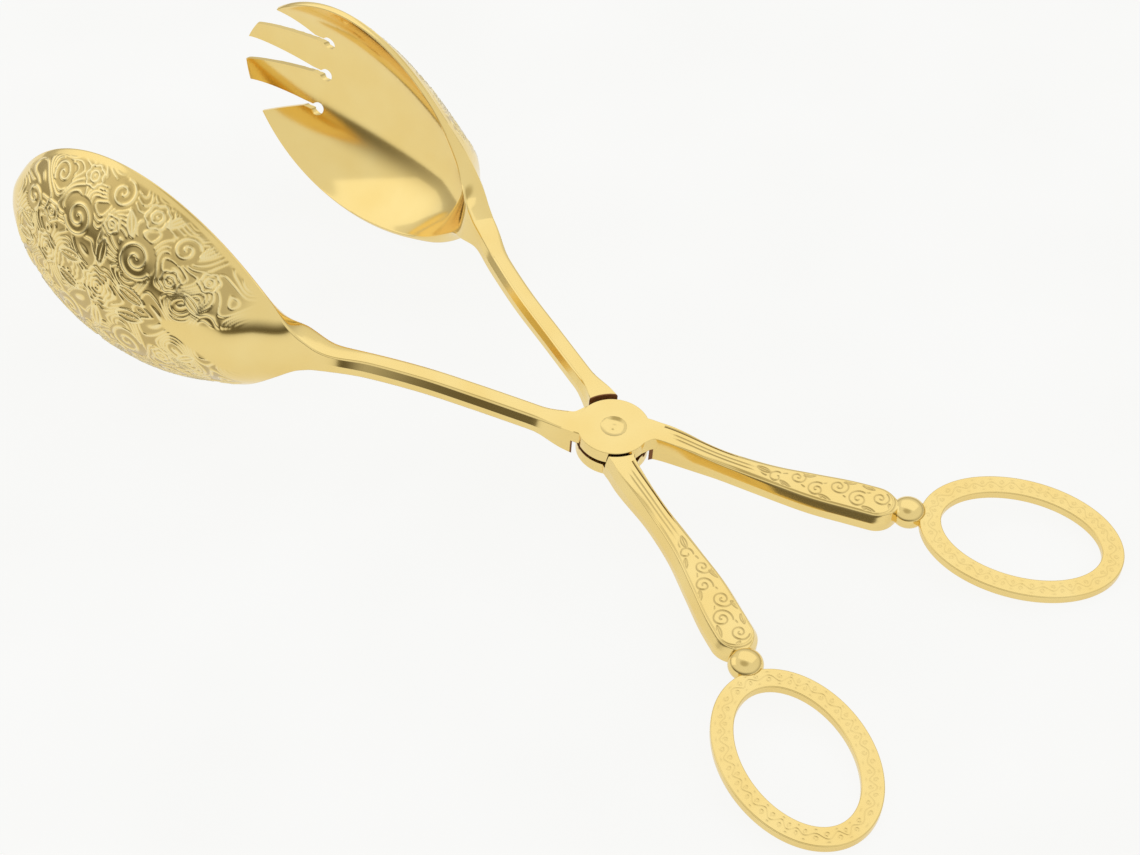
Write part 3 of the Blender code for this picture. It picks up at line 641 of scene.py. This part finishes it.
def roundedLoop(corners, cut, samples):
    # a polygon whose corners become parabolas, cut back by less than half an edge, with extra points between
    count = len(corners)
    entry, leave = [], []
    for k in range(count):
        before, after = corners[k - 1] - corners[k], corners[(k + 1) % count] - corners[k]
        for run, kept in ((before, entry), (after, leave)):
            length = np.linalg.norm(run, axis=1, keepdims=True)
            kept.append(corners[k] + run * np.minimum(cut / np.maximum(length, 1e-9), 0.45))
    t = np.linspace(0.0, 1.0, cornerPoints)[None, :, None]
    parts = []
    for k in range(count):
        start, middle, stop = entry[k][:, None], corners[k][:, None], leave[k][:, None]
        parts.append(start * (1 - t) ** 2 + middle * 2 * t * (1 - t) + stop * t**2)
        if samples[k]:
            along = (np.arange(1, samples[k] + 1) / (samples[k] + 1))[None, :, None]
            parts.append(stop * (1 - along) + entry[(k + 1) % count][:, None] * along)
    return np.concatenate(parts, axis=1)


def handleRows(side):
    # path, sizes and distance along the handle, from the pivot to the round end; near the disc the outer side
    # runs out further than the inner one
    points = np.column_stack([handle["xShares"], handle["yShares"]]) * handleEnd
    path = smoothPath(points, handle["stepsPerSpan"])
    half = handle["width"] / 2
    last = unit(path[-1] - path[-2])
    path = path[(path - (path[-1] - last * half)) @ last < 0]
    last = unit(path[-1] - path[-2])
    away = np.linalg.norm(path, axis=1)
    swell = smoothPath(np.column_stack([handle["widthPlaces"], handle["widthShares"]]), handle["swellSteps"])
    broad = handle["width"] * np.interp(path[:, 0] / handle["reach"], swell[:, 0], swell[:, 1])
    hubShare, width, thick = armSizes(away, handle["fade"], broad, handle["thickness"])
    inner, outer = hubFillets(away)
    flare = handle["flare"] * ramp(away, handle["flareFrom"], handle["flareFull"])
    outer = outer + flare * ramp(away, handle["flareTo"], handle["flareFull"])
    width = width + inner + outer
    forward = np.gradient(path, axis=0)
    shifted = path - unit(leftOf(forward)) * (outer - inner)[:, None] / 2
    count = handle["endRows"]
    turn = np.linspace(0.0, pi / 2, count + 1)[1:] * handle["endTurn"]
    tip = path[-1] + last * (half * np.sin(turn))[:, None]
    drop = handle["drop"] * np.append(1.0 - hubShare, np.ones(count))
    centre = np.column_stack([np.concatenate([shifted, tip]), -side["top"] * drop])
    return {
        "centre": centre, "forward": np.concatenate([forward, np.repeat([last], count, axis=0)]),
        "width": np.append(width, width[-1] * np.cos(turn)),
        "thick": np.append(thick, np.full(count, handle["thickness"])),
        "fade": np.append(1.0 - hubShare, np.cos(turn)),
        "soft": np.append(1.0 - handle["sharpening"] * hubShare, np.ones(count)),
        "away": np.append(away, np.linalg.norm(tip, axis=1)), "along": distances(centre),
    }


def handleSections(rows, side, topColumns):
    # flat crowned top, sides that slope out to a shoulder, and a chamfered foot
    half, thick = rows["width"] / 2, rows["thick"]
    inset = np.minimum(handle["topInset"] * rows["soft"], half * handle["mostInset"])
    foot = np.minimum(handle["foot"], half * handle["mostFoot"])
    shoulder = thick * handle["shoulderShare"]
    corners = [
        (inset - half, thick / 2), (half - inset, thick / 2), (half, shoulder), (half, foot - thick / 2),
        (half - foot, -thick / 2), (foot - half, -thick / 2), (-half, foot - thick / 2), (-half, shoulder),
    ]
    corners = [np.column_stack(pair) for pair in corners]
    cut = (handle["cornerCut"] * rows["soft"])[:, None]
    loop = roundedLoop(corners, cut, [topColumns, 3, 2, 0, 6, 0, 2, 3])
    top = np.arange(cornerPoints, cornerPoints + topColumns)
    flat = np.maximum(half - inset, 1e-6)[:, None]
    across = loop[:, top, 0]
    crown = handle["crown"] * rows["fade"][:, None] * (1.0 - (across / flat) ** 2)
    s, t, full = rows["along"][:, None] / mm, across / mm, handle["width"] / 2 / mm
    end = rows["along"][-1] / mm - full
    roundEdge = full - np.hypot(np.maximum(s - end, 0.0), t) + np.abs(t)
    edge = np.where(s > end, roundEdge, flat / mm + inset[:, None] / mm)
    relief = handleEngraving(s, t * side["top"], edge, handlePattern)
    loop[:, top, 1] += crown - relief * handle["engraving"]
    # colour mask: painted shade in the engraved lines
    shape = np.zeros(loop.shape[:2])
    shape[:, top] = -relief * handle["cutShadeStrength"]
    height, depth = side["top"] * loop[..., 1], loop[..., 0]
    return placeSections(rows["centre"], rows["forward"], np.zeros(len(half)), height, depth), shape


def handlePoints(side):
    # the handle beyond the hub's seam
    rows = handleRows(side)
    return handleSections(pick(rows, rows["away"] > hub["seam"]), side, handle["topColumns"])


# Hub, rivet, bead and ring

def turnedPoints(profile, steps):
    # rows of circles about z, from (radius, height) pairs
    turn = np.linspace(0.0, fullTurn, steps, endpoint=False)
    profile = np.array(profile)
    radius, height = profile[:, :1], profile[:, 1:]
    return np.stack([radius * np.cos(turn), radius * np.sin(turn), height * np.ones_like(turn)], -1)


def quarterRound(radius, height, wide, high, steps):
    # (radius, height) pairs on a quarter ellipse from straight below its middle outwards, without its ends
    turns = [pi / 2 * step / steps for step in range(1, steps)]
    return [(radius + wide * sin(turn), height - high * cos(turn)) for turn in turns]


def hubMesh(bowl, side):
    # disc joined to the two stubs of the arm, less the other arm's lap, the bore and the rivet's dimple
    shankRun = shankRows(bowl, side, bowl["shankRows"])
    coarse = shankRows(bowl, side, hub["stubSteps"])
    seamRow = np.flatnonzero(shankRun["away"] > hub["seam"])[-1:]
    stub = joinedRows(pick(shankRun, seamRow), pick(coarse, coarse["away"] < hub["seam"] - hub["stubGap"]))
    columns = dict(bowl, backColumns=hub["stubColumns"], frontColumns=hub["stubColumns"])
    shankStub, _ = jawSections(stub, columns, side)
    rows = handleRows(side)
    nearRows = np.flatnonzero(rows["away"] < hub["seam"])
    kept = np.unique(np.append(nearRows[::hub["handleStride"]], nearRows[-1] + 1))
    handleStub, _ = handleSections(pick(rows, kept), side, hub["stubTop"])
    half, bend, bore = hub["thickness"] / 2, hub["rimRound"], hub["bore"]
    disc = [(hub["discPole"], -half), (hub["radius"] - bend, -half)]
    disc += quarterRound(hub["radius"] - bend, -half + bend, bend, bend, hub["rimSteps"])
    disc += [(radius, -height) for radius, height in reversed(disc)]
    lap, face, high = hub["radius"] + hub["clearance"], -hub["lapFace"], half + hub["overrun"]
    recess = [(hub["cutPole"], -high), (bore, -high)]
    if side is spoonSide:
        floor = hub["dimpleDepth"] - half
        recess = [(hub["cutPole"], -high), (hub["dimple"], -high), (hub["dimple"], floor), (bore, floor)]
    recess += [(bore, face), (lap, face), (lap, high), (hub["cutPole"], high)]
    cutter = turnedPoints(recess, hub["cutSteps"])
    cutter[-3:-1, :, :2] += np.array(hub["offsetTowards"]) * hub["offset"]
    name = side["name"] + "Hub"
    steps = [
        (gridMesh(name + "Shank", side, shankStub), "UNION"),
        (gridMesh(name + "Handle", side, handleStub), "UNION"),
        (gridMesh(name + "Recess", side, cutter), "DIFFERENCE"),
    ]
    return carved(name, gridMesh(name + "Disc", side, turnedPoints(disc, hub["discSteps"])), steps)


rivet = dict(
    radius=2.0 * mm, headRadius=2.98 * mm, sink=0.01 * mm, dish=0.60 * mm, dome=0.46 * mm,
    domeShare=0.42, headPole=0.004, headSteps=36, gap=0.3 * mm, washer=0.5 * mm,
    tailRadius=3.0 * mm, tailHeight=1.0 * mm, tailFlat=1.5 * mm, tailPole=0.1 * mm,
    tailSteps=8, steps=96,
)


def rivetMesh():
    # a head with a sunk rim, a shallow dish and a domed middle, over a plain shank and a formed tail
    face, radius, flat = hub["thickness"] / 2, rivet["radius"], rivet["tailFlat"]
    seat = face - hub["dimpleDepth"] + rivet["gap"]
    tail = -(face + rivet["gap"] + rivet["washer"] + rivet["gap"])
    profile = [(rivet["tailPole"], tail - rivet["tailHeight"]), (flat, tail - rivet["tailHeight"])]
    profile += quarterRound(flat, tail, rivet["tailRadius"] - flat, rivet["tailHeight"], rivet["tailSteps"])
    profile += [(rivet["tailRadius"], tail), (radius, tail), (radius, seat), (rivet["headRadius"], seat)]
    share = np.linspace(1.0, rivet["headPole"], rivet["headSteps"])
    head = face - rivet["sink"] - rivet["dish"] * (1.0 - share**2)
    head = head + rivet["dome"] * ridge(share, rivet["domeShare"])
    profile = np.concatenate([profile, np.column_stack([rivet["headRadius"] * share, head])])
    return gridMesh("rivet", forkSide, turnedPoints(profile, rivet["steps"]), sharp=sharpAngles["turned"])


bead = dict(
    radius=3.9 * mm, halfHeight=2.8 * mm, overlap=1.5 * mm, bearing=radians(48),
    power=2.3, rows=39, columns=72,
)
ring = dict(
    longRadius=20.56 * mm, shortRadius=14.11 * mm, band=4.9 * mm, thickness=2.1 * mm,
    turn=radians(24.6), bearing=radians(26.6), overlap=1.45 * mm, round=0.35 * mm,
    rows=640, topColumns=36, engraving=0.06 * mm, cutShadeStrength=0.16,
)
ringPattern = dict(
    waves=26, swing=0.75, drift=1.1, lineWidth=0.17, curl=0.55, curlTurns=1.4,
    curlOut=0.55, curlRoom=0.3, curlEdge=0.2, sprigOut=0.7,
)
beadMiddle = handleEnd + (bead["radius"] - bead["overlap"]) * heading(bead["bearing"])


def beadPoints():
    # a cushion: radius and height follow a superellipse
    turn = np.linspace(-pi / 2, pi / 2, bead["rows"] + 2)[1:-1]
    wide = np.abs(np.cos(turn)) ** (2 / bead["power"]) * bead["radius"]
    high = np.sign(turn) * np.abs(np.sin(turn)) ** (2 / bead["power"]) * bead["halfHeight"]
    points = turnedPoints(np.column_stack([wide, high]), bead["columns"])
    points[..., :2] += beadMiddle
    return points


def ringEngraving(turn, along, around, across):
    # cut lines: a vine, across = swing sin(phase), with a curl and a sprig at each crest; the bare numbers
    # only keep its pace and swing from repeating
    width, curl = ringPattern["lineWidth"], ringPattern["curl"]
    drift = ringPattern["drift"] * np.sin(5 * turn + 0.8) * np.sin(3 * turn)
    phase = fullTurn * ringPattern["waves"] * along / around + drift
    swing = ringPattern["swing"] * (0.85 + 0.25 * np.sin(7 * turn + 2.0))
    relief = ridge(across - swing * np.sin(phase), width)
    for crest in (1, -1):
        local = (np.mod(phase - crest * pi / 2 + pi, fullTurn) - pi) / fullTurn
        local, out = local * around / ringPattern["waves"], across + crest * ringPattern["curlOut"]
        spiral = {"x": 0.0, "y": 0.0, "radius": curl, "turns": ringPattern["curlTurns"]}
        spiral = dict(spiral, hand=crest, start=90 * crest)
        within = ease((curl + ringPattern["curlRoom"] - np.hypot(local, out)) / ringPattern["curlEdge"])
        relief = np.maximum(relief, ridge(spiralDistance(local, out, spiral), width) * within)
        sprig = np.hypot(local * 0.5, across - crest * (ringPattern["swing"] + ringPattern["sprigOut"]))
        relief = np.maximum(relief, ridge(sprig, width * 1.2))
    return relief


def ringPoints(side):
    # a flat oval band of even width: an ellipse with its outline set off along its normal
    turn = np.linspace(0.0, fullTurn, ring["rows"], endpoint=False)
    point = np.column_stack([ring["longRadius"] * np.cos(turn), ring["shortRadius"] * np.sin(turn)])
    outward = unit(np.column_stack([ring["shortRadius"] * np.cos(turn), ring["longRadius"] * np.sin(turn)]))
    half, high = ring["band"] / 2, ring["thickness"] / 2
    corners = [np.array([pair]) for pair in ((-half, high), (half, high), (half, -high), (-half, -high))]
    loop = roundedLoop(corners, ring["round"], [ring["topColumns"], 2, 4, 2])
    out, up = (loop[..., k] * np.ones((ring["rows"], 1)) for k in range(2))
    top = np.arange(cornerPoints, cornerPoints + ring["topColumns"])
    along = distances(point) / mm
    relief = ringEngraving(turn[:, None], along[:, None], along[-1] + along[1], out[:, top] / mm)
    up[:, top] -= relief * ring["engraving"]
    axis = heading(ring["turn"])
    plan = (point[:, None] + outward[:, None] * out[..., None]) @ np.stack([axis, leftOf(axis)])
    step = bead["radius"] - ring["overlap"] + ring["band"] / 2 + ring["longRadius"]
    plan = plan + beadMiddle + step * heading(ring["bearing"])
    # colour mask: painted shade in the engraved lines
    shape = np.zeros(out.shape)
    shape[:, top] = -relief * ring["cutShadeStrength"]
    return np.concatenate([plan, side["top"] * up[..., None]], axis=-1), shape


# Materials

def toLinear(code, alpha=1.0):
    # sRGB hex to linear light
    channels = [int(code[k:k + 2], 16) / 255 for k in (1, 3, 5)]
    return [c / 12.92 if c <= 0.04045 else ((c + 0.055) / 1.055) ** 2.4 for c in channels] + [alpha]


def addNode(material, kind, inputs=None, **settings):
    # the outputs of a new node; an input that is a socket is linked, any other is a value
    node = material.node_tree.nodes.new("ShaderNode" + kind)
    for key, value in settings.items():
        setattr(node, key, value)
    for key, value in (inputs or {}).items():
        if isinstance(value, bpy.types.NodeSocket):
            material.node_tree.links.new(value, node.inputs[key])
        else:
            node.inputs[key].default_value = value
    return node.outputs


def newMaterial(name):
    # a material with no nodes yet, and the function that adds one to it
    material = bpy.data.materials.new(name)
    material.use_nodes = True
    material.node_tree.nodes.clear()
    return material, partial(addNode, material)


# pale and deep are the plate's own tones; the cut-line colour is painted shade for cut lines and sunk ground,
# and the ridge colour a painted highlight on raised lines
goldLook = dict(
    pale="#F7E09C", deep="#F0D182", paintedCutShade="#6A4E1C", ridge="#F8E7B0",
    roughness=0.12, cavityRoughness=0.30, waveHeightMm=0.02, grainHeightMm=0.0015,
    waves=(11.0, 2.0, 0.45), grain=(0.5, 3.0, 0.6),      # noise size in mm, detail and roughness
)
# the brown and tan patch is partly the bare casting and partly painted shade in the gap of the lap
bareShadedLapLook = dict(
    brown="#6E3C1E", tan="#9C6A3A", roughness=0.62, metallic=0.45,
    radius=9.95 * mm, fullRadius=9.8 * mm, depth=0.6 * mm, fullDepth=0.5 * mm, edge=0.5 * mm,
)
washerLook = dict(
    lap_washer="#A8843F", tail_washer="#B08C46", grime="#5A4020", grainMm=0.8,
    roughness=0.32, grimeRoughness=0.5,
)


def goldPlate(name, bareShadedSide=None):
    # gold-plated cast metal, polished by hand: a soft mirror with slow waves, dull in cut lines, with an
    # olive painted shade in cut lines and sunk ground and a painted highlight on raised lines
    material, add = newMaterial(name)
    place = add("TexCoord")["Object"]
    waves, grain = (
        add("TexNoise", {
            "Vector": place, "Scale": 1 / (size * mm), "Detail": detail, "Roughness": roughness,
        })["Fac"]
        for size, detail, roughness in (goldLook["waves"], goldLook["grain"])
    )
    relief = add("Attribute", attribute_name="relief")["Fac"]
    cut = add("Math", {0: relief, 1: -1.0}, operation="MULTIPLY", use_clamp=True)[0]
    paintedHighlightShare = add("Clamp", {"Value": relief})[0]
    # sockets 6 and 7 are the two colours of a Mix node, and 2 is its colour result
    tone = toLinear(goldLook["pale"])
    # the waves mix in the deeper plate tone; the cut-line colour paints shade into cut lines and sunk ground,
    # the ridge colour paints a highlight on raised lines
    for share, colour in ((waves, "deep"), (cut, "paintedCutShade"), (paintedHighlightShare, "ridge")):
        tone = add("Mix", {0: share, 6: tone, 7: toLinear(goldLook[colour])}, data_type="RGBA")[2]
    rough = add("MapRange", {
        "Value": cut, "To Min": goldLook["roughness"], "To Max": goldLook["cavityRoughness"],
    })[0]
    slow = add("Bump", {"Height": waves, "Distance": goldLook["waveHeightMm"] * mm})[0]
    fine = add("Bump", {"Height": grain, "Distance": goldLook["grainHeightMm"] * mm, "Normal": slow})[0]
    metallic = 1.0
    # the lap's brown patch: bare casting with painted shade in the gap
    if bareShadedSide:
        tone, rough, metallic = bareShadedLap(add, bareShadedSide, place, grain, tone, rough)
    shader = add("BsdfPrincipled", {
        "Base Color": tone, "Metallic": metallic, "Roughness": rough, "Normal": fine,
    })[0]
    add("OutputMaterial", {"Surface": shader})
    return material


def bareShadedLap(add, side, place, grain, tone, rough):
    # inside the half lap the casting isn't plated and lies in the gap between the arms: brown and matt, bare
    # casting with painted shade, within a radius of the pivot and off the lap face; the colour, roughness and
    # metallic sockets are given back with this patch in them
    tilt = Matrix(armTurn.tolist()).inverted().to_euler()
    centred = add("VectorMath", {0: place, 1: pivotPoint.tolist()}, operation="SUBTRACT")[0]
    turned = add("VectorRotate", {"Vector": centred, "Rotation": tilt}, rotation_type="EULER_XYZ")[0]
    x, y, z = add("SeparateXYZ", {0: turned})
    flat = add("CombineXYZ", {0: x, 1: y})[0]
    away = add("VectorMath", {0: flat}, operation="LENGTH")[1]
    inside = 1.0
    for value, start, full in (
        (away, bareShadedLapLook["radius"], bareShadedLapLook["fullRadius"]),
        (z, -side["top"] * bareShadedLapLook["depth"], -side["top"] * bareShadedLapLook["fullDepth"]),
        (x, side["bareShadedUpTo"], side["bareShadedUpTo"] - bareShadedLapLook["edge"]),
    ):
        share = add("MapRange", {"Value": value, "From Min": start, "From Max": full})[0]
        inside = add("Math", {0: inside, 1: share}, operation="MULTIPLY")[0]
    patch = add("Mix", {
        0: grain, 6: toLinear(bareShadedLapLook["brown"]), 7: toLinear(bareShadedLapLook["tan"]),
    }, data_type="RGBA")[2]
    colour = add("Mix", {0: inside, 6: tone, 7: patch}, data_type="RGBA")[2]
    dull = add("Mix", {0: inside, 2: rough, 3: bareShadedLapLook["roughness"]})[0]
    shine = add("MapRange", {"Value": inside, "To Min": 1.0, "To Max": bareShadedLapLook["metallic"]})[0]
    return colour, dull, shine


def washerMetal(name, colour):
    # rolled brass, darkened with age: satin, with a fine grain
    material, add = newMaterial(name)
    place = add("TexCoord")["Object"]
    grain = add("TexNoise", {
        "Vector": place, "Scale": 1 / (washerLook["grainMm"] * mm), "Detail": 3.0,
    })["Fac"]
    tone = add("Mix", {0: grain, 6: toLinear(colour), 7: toLinear(washerLook["grime"])}, data_type="RGBA")[2]
    rough = add("MapRange", {
        "Value": grain, "To Min": washerLook["roughness"], "To Max": washerLook["grimeRoughness"],
    })[0]
    shader = add("BsdfPrincipled", {"Base Color": tone, "Metallic": 1.0, "Roughness": rough})[0]
    add("OutputMaterial", {"Surface": shader})
    return material


# Building

print("jaws")
castGold = goldPlate("gold-plated cast metal")
rivetGold = goldPlate("gold-plated rivet metal")

addGrid("spoonJaw", spoonSide, *jawPoints(spoonBowl, spoonSide))
forkJaw = gridMesh("forkJaw", forkSide, *jawPoints(forkBowl, forkSide))
cuts = [(slotCutter(*cut), "DIFFERENCE") for cut in slots["cuts"]]
addPiece("forkJaw", carved("forkJaw", forkJaw, cuts), forkSide, castGold)

print("handles, beads and rings")
for side, bowl in ((spoonSide, spoonBowl), (forkSide, forkBowl)):
    name = side["name"]
    # the hub's gold with a brown patch in the lap: bare casting with painted shade
    lapGold = goldPlate("gold-plated cast metal, bare inside the " + name + " lap", side)
    addPiece(name + "Hub", hubMesh(bowl, side), side, lapGold)
    addGrid(name + "Handle", side, *handlePoints(side))
    addGrid(name + "Bead", side, beadPoints())
    addGrid(name + "Ring", side, *ringPoints(side), ends="ring")

print("rivet and washers")
thing = linked("rivet", rivetMesh())
thing.data.materials.append(rivetGold)
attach(thing, "spoon_side")
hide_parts("pivot_rivet")
for node in ("lap_washer", "tail_washer"):
    washer = frame["nodes"][node]
    washer.data.materials.clear()
    washer.data.materials.append(washerMetal(node.replace("_", " ") + ", aged brass", washerLook[node]))


# Floor, light and camera

studio = dict(
    floorHalf=2.5, floorColor="#FCFCFB", mottle="#F8F8F6", mottleMm=60, floorRoughness=0.9,
    backdrop=1.0, seenLift=0.94, mirroredLift=0.7, farFloor="#7A7462", farFrom=0.05, farTo=0.5,
    skyStrength=0.91, litHorizon="#C4C2BC", dimTowards=(0.2, -0.98, 0.0),
    skyLayers=[          # colour, where it starts and where it is full: towards the dim side, then upwards
        ("#6A6454", 0.3, 0.92), ("#F6F6F4", 0.04, 0.5), ("#C6C1B2", 0.93, 0.995),
    ],
    lamps=table("name at size power", [
        ("overhead", (-0.3, 0.9, 1.3), (1.6, 1.2), 1.3), ("side", (-1.3, -0.5, 0.9), (1.2, 1.2), 1.2),
    ]),
    aim=(0.0, 0.0, 0.01),
)


def floorMaterial():
    # painted board: matt and pale, with the slightest mottling, lifted towards white where seen; where it is
    # mirrored it falls off to the unlit side of the room
    material, add = newMaterial("pale painted board")
    place = add("TexCoord")["Object"]
    mottle = add("TexNoise", {"Vector": place, "Scale": 1 / (studio["mottleMm"] * mm), "Detail": 2.0})["Fac"]
    tone = add("Mix", {
        0: mottle, 6: toLinear(studio["floorColor"]), 7: toLinear(studio["mottle"]),
    }, data_type="RGBA")[2]
    shader = add("BsdfPrincipled", {"Base Color": tone, "Roughness": studio["floorRoughness"]})[0]
    path = add("LightPath")
    reach = add("VectorMath", {0: place, 1: studio["dimTowards"]}, operation="DOT_PRODUCT")[1]
    far = add("MapRange", {
        "Value": reach, "From Min": studio["farFrom"], "From Max": studio["farTo"],
    }, interpolation_type="SMOOTHSTEP")[0]
    fall = add("Math", {0: far, 1: path["Is Glossy Ray"]}, operation="MULTIPLY")[0]
    glow = add("Mix", {0: fall, 6: tone, 7: toLinear(studio["farFloor"])}, data_type="RGBA")[2]
    white = add("Emission", {"Color": glow, "Strength": studio["backdrop"]})[0]
    seen = add("Math", {0: path["Is Camera Ray"], 1: studio["seenLift"]}, operation="MULTIPLY")[0]
    mirrored = add("MapRange", {"Value": far, "To Min": studio["mirroredLift"]})[0]
    lift = add("Math", {0: path["Is Glossy Ray"], 1: mirrored, 2: seen}, operation="MULTIPLY_ADD")[0]
    mixed = add("MixShader", {0: lift, 1: shader, 2: white})[0]
    add("OutputMaterial", {"Surface": mixed})
    return material


def addFloor():
    # a square board that touches the lowest point of the tongs
    lowest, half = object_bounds()[0][2], studio["floorHalf"]
    corners = [(-half, -half, lowest), (half, -half, lowest), (half, half, lowest), (-half, half, lowest)]
    mesh = bpy.data.meshes.new("floor")
    mesh.from_pydata(corners, [], [(0, 1, 2, 3)])
    floor = linked("floor", mesh)
    mesh.materials.append(floorMaterial())


def addWorld():
    # a pale studio sky that dims towards the horizon, most on the unlit side of the room, and right overhead;
    # plain white straight behind the object
    world = bpy.data.worlds.new("studio")
    world.use_nodes = True
    world.node_tree.nodes.clear()
    bpy.context.scene.world = world
    add = partial(addNode, world)
    direction = add("TexCoord")["Generated"]
    height = add("SeparateXYZ", {0: direction})[2]
    facing = add("VectorMath", {0: direction, 1: studio["dimTowards"]}, operation="DOT_PRODUCT")[1]
    sky = toLinear(studio["litHorizon"])
    for value, (colour, start, full) in zip((facing, height, height), studio["skyLayers"]):
        share = add("MapRange", {
            "Value": value, "From Min": start, "From Max": full,
        }, interpolation_type="SMOOTHSTEP")[0]
        sky = add("Mix", {0: share, 6: sky, 7: toLinear(colour)}, data_type="RGBA")[2]
    light = add("Background", {"Color": sky, "Strength": studio["skyStrength"]})[0]
    white = add("Background", {"Color": toLinear("#FFFFFF"), "Strength": studio["backdrop"]})[0]
    path = add("LightPath")["Is Camera Ray"]
    mixed = add("MixShader", {0: path, 1: light, 2: white})[0]
    add("OutputWorld", {"Surface": mixed})


def addLamps():
    # broad soft lamps, all turned towards the tongs
    for lamp in studio["lamps"]:
        data = bpy.data.lights.new(lamp["name"], "AREA")
        data.shape = "RECTANGLE"
        data.size, data.size_y = lamp["size"]
        data.energy = lamp["power"]
        thing = linked(lamp["name"], data)
        thing.location = lamp["at"]
        thing.rotation_euler = (Vector(studio["aim"]) - thing.location).to_track_quat("-Z", "Y").to_euler()


view = dict(
    turn=0.6584, rise=0.8489, roll=0.0824, aim=(-8.807 * mm, -4.645 * mm, 0.0),
    distance=633.3 * mm, lens=88.1, sensor=36.0, nearest=10 * mm,
)


def addCamera():
    # turn about the rivet's axis, rise above the arms' plane and roll, all in arm space
    turn, rise, roll = view["turn"], view["rise"], view["roll"]
    back = np.array([sin(turn) * cos(rise), -cos(turn) * cos(rise), sin(rise)])
    right = np.array([cos(turn), sin(turn), 0.0])
    up = np.cross(back, right)
    across = cos(roll) * right + sin(roll) * up
    upward = cos(roll) * up - sin(roll) * right
    axes = armTurn @ np.column_stack([across, upward, back])
    place = armTurn @ (np.array(view["aim"]) + back * view["distance"]) + pivotPoint
    data = bpy.data.cameras.new("camera")
    data.lens = view["lens"]
    data.sensor_width = view["sensor"]
    data.sensor_fit = "HORIZONTAL"
    data.clip_start = view["nearest"]
    camera = linked("camera", data)
    camera.matrix_world = Matrix.Translation(place.tolist()) @ Matrix(axes.tolist()).to_4x4()
    bpy.context.scene.camera = camera


print("floor, light and camera")
addFloor()
addWorld()
addLamps()
addCamera()
bpy.context.scene.view_settings.view_transform = "Standard"
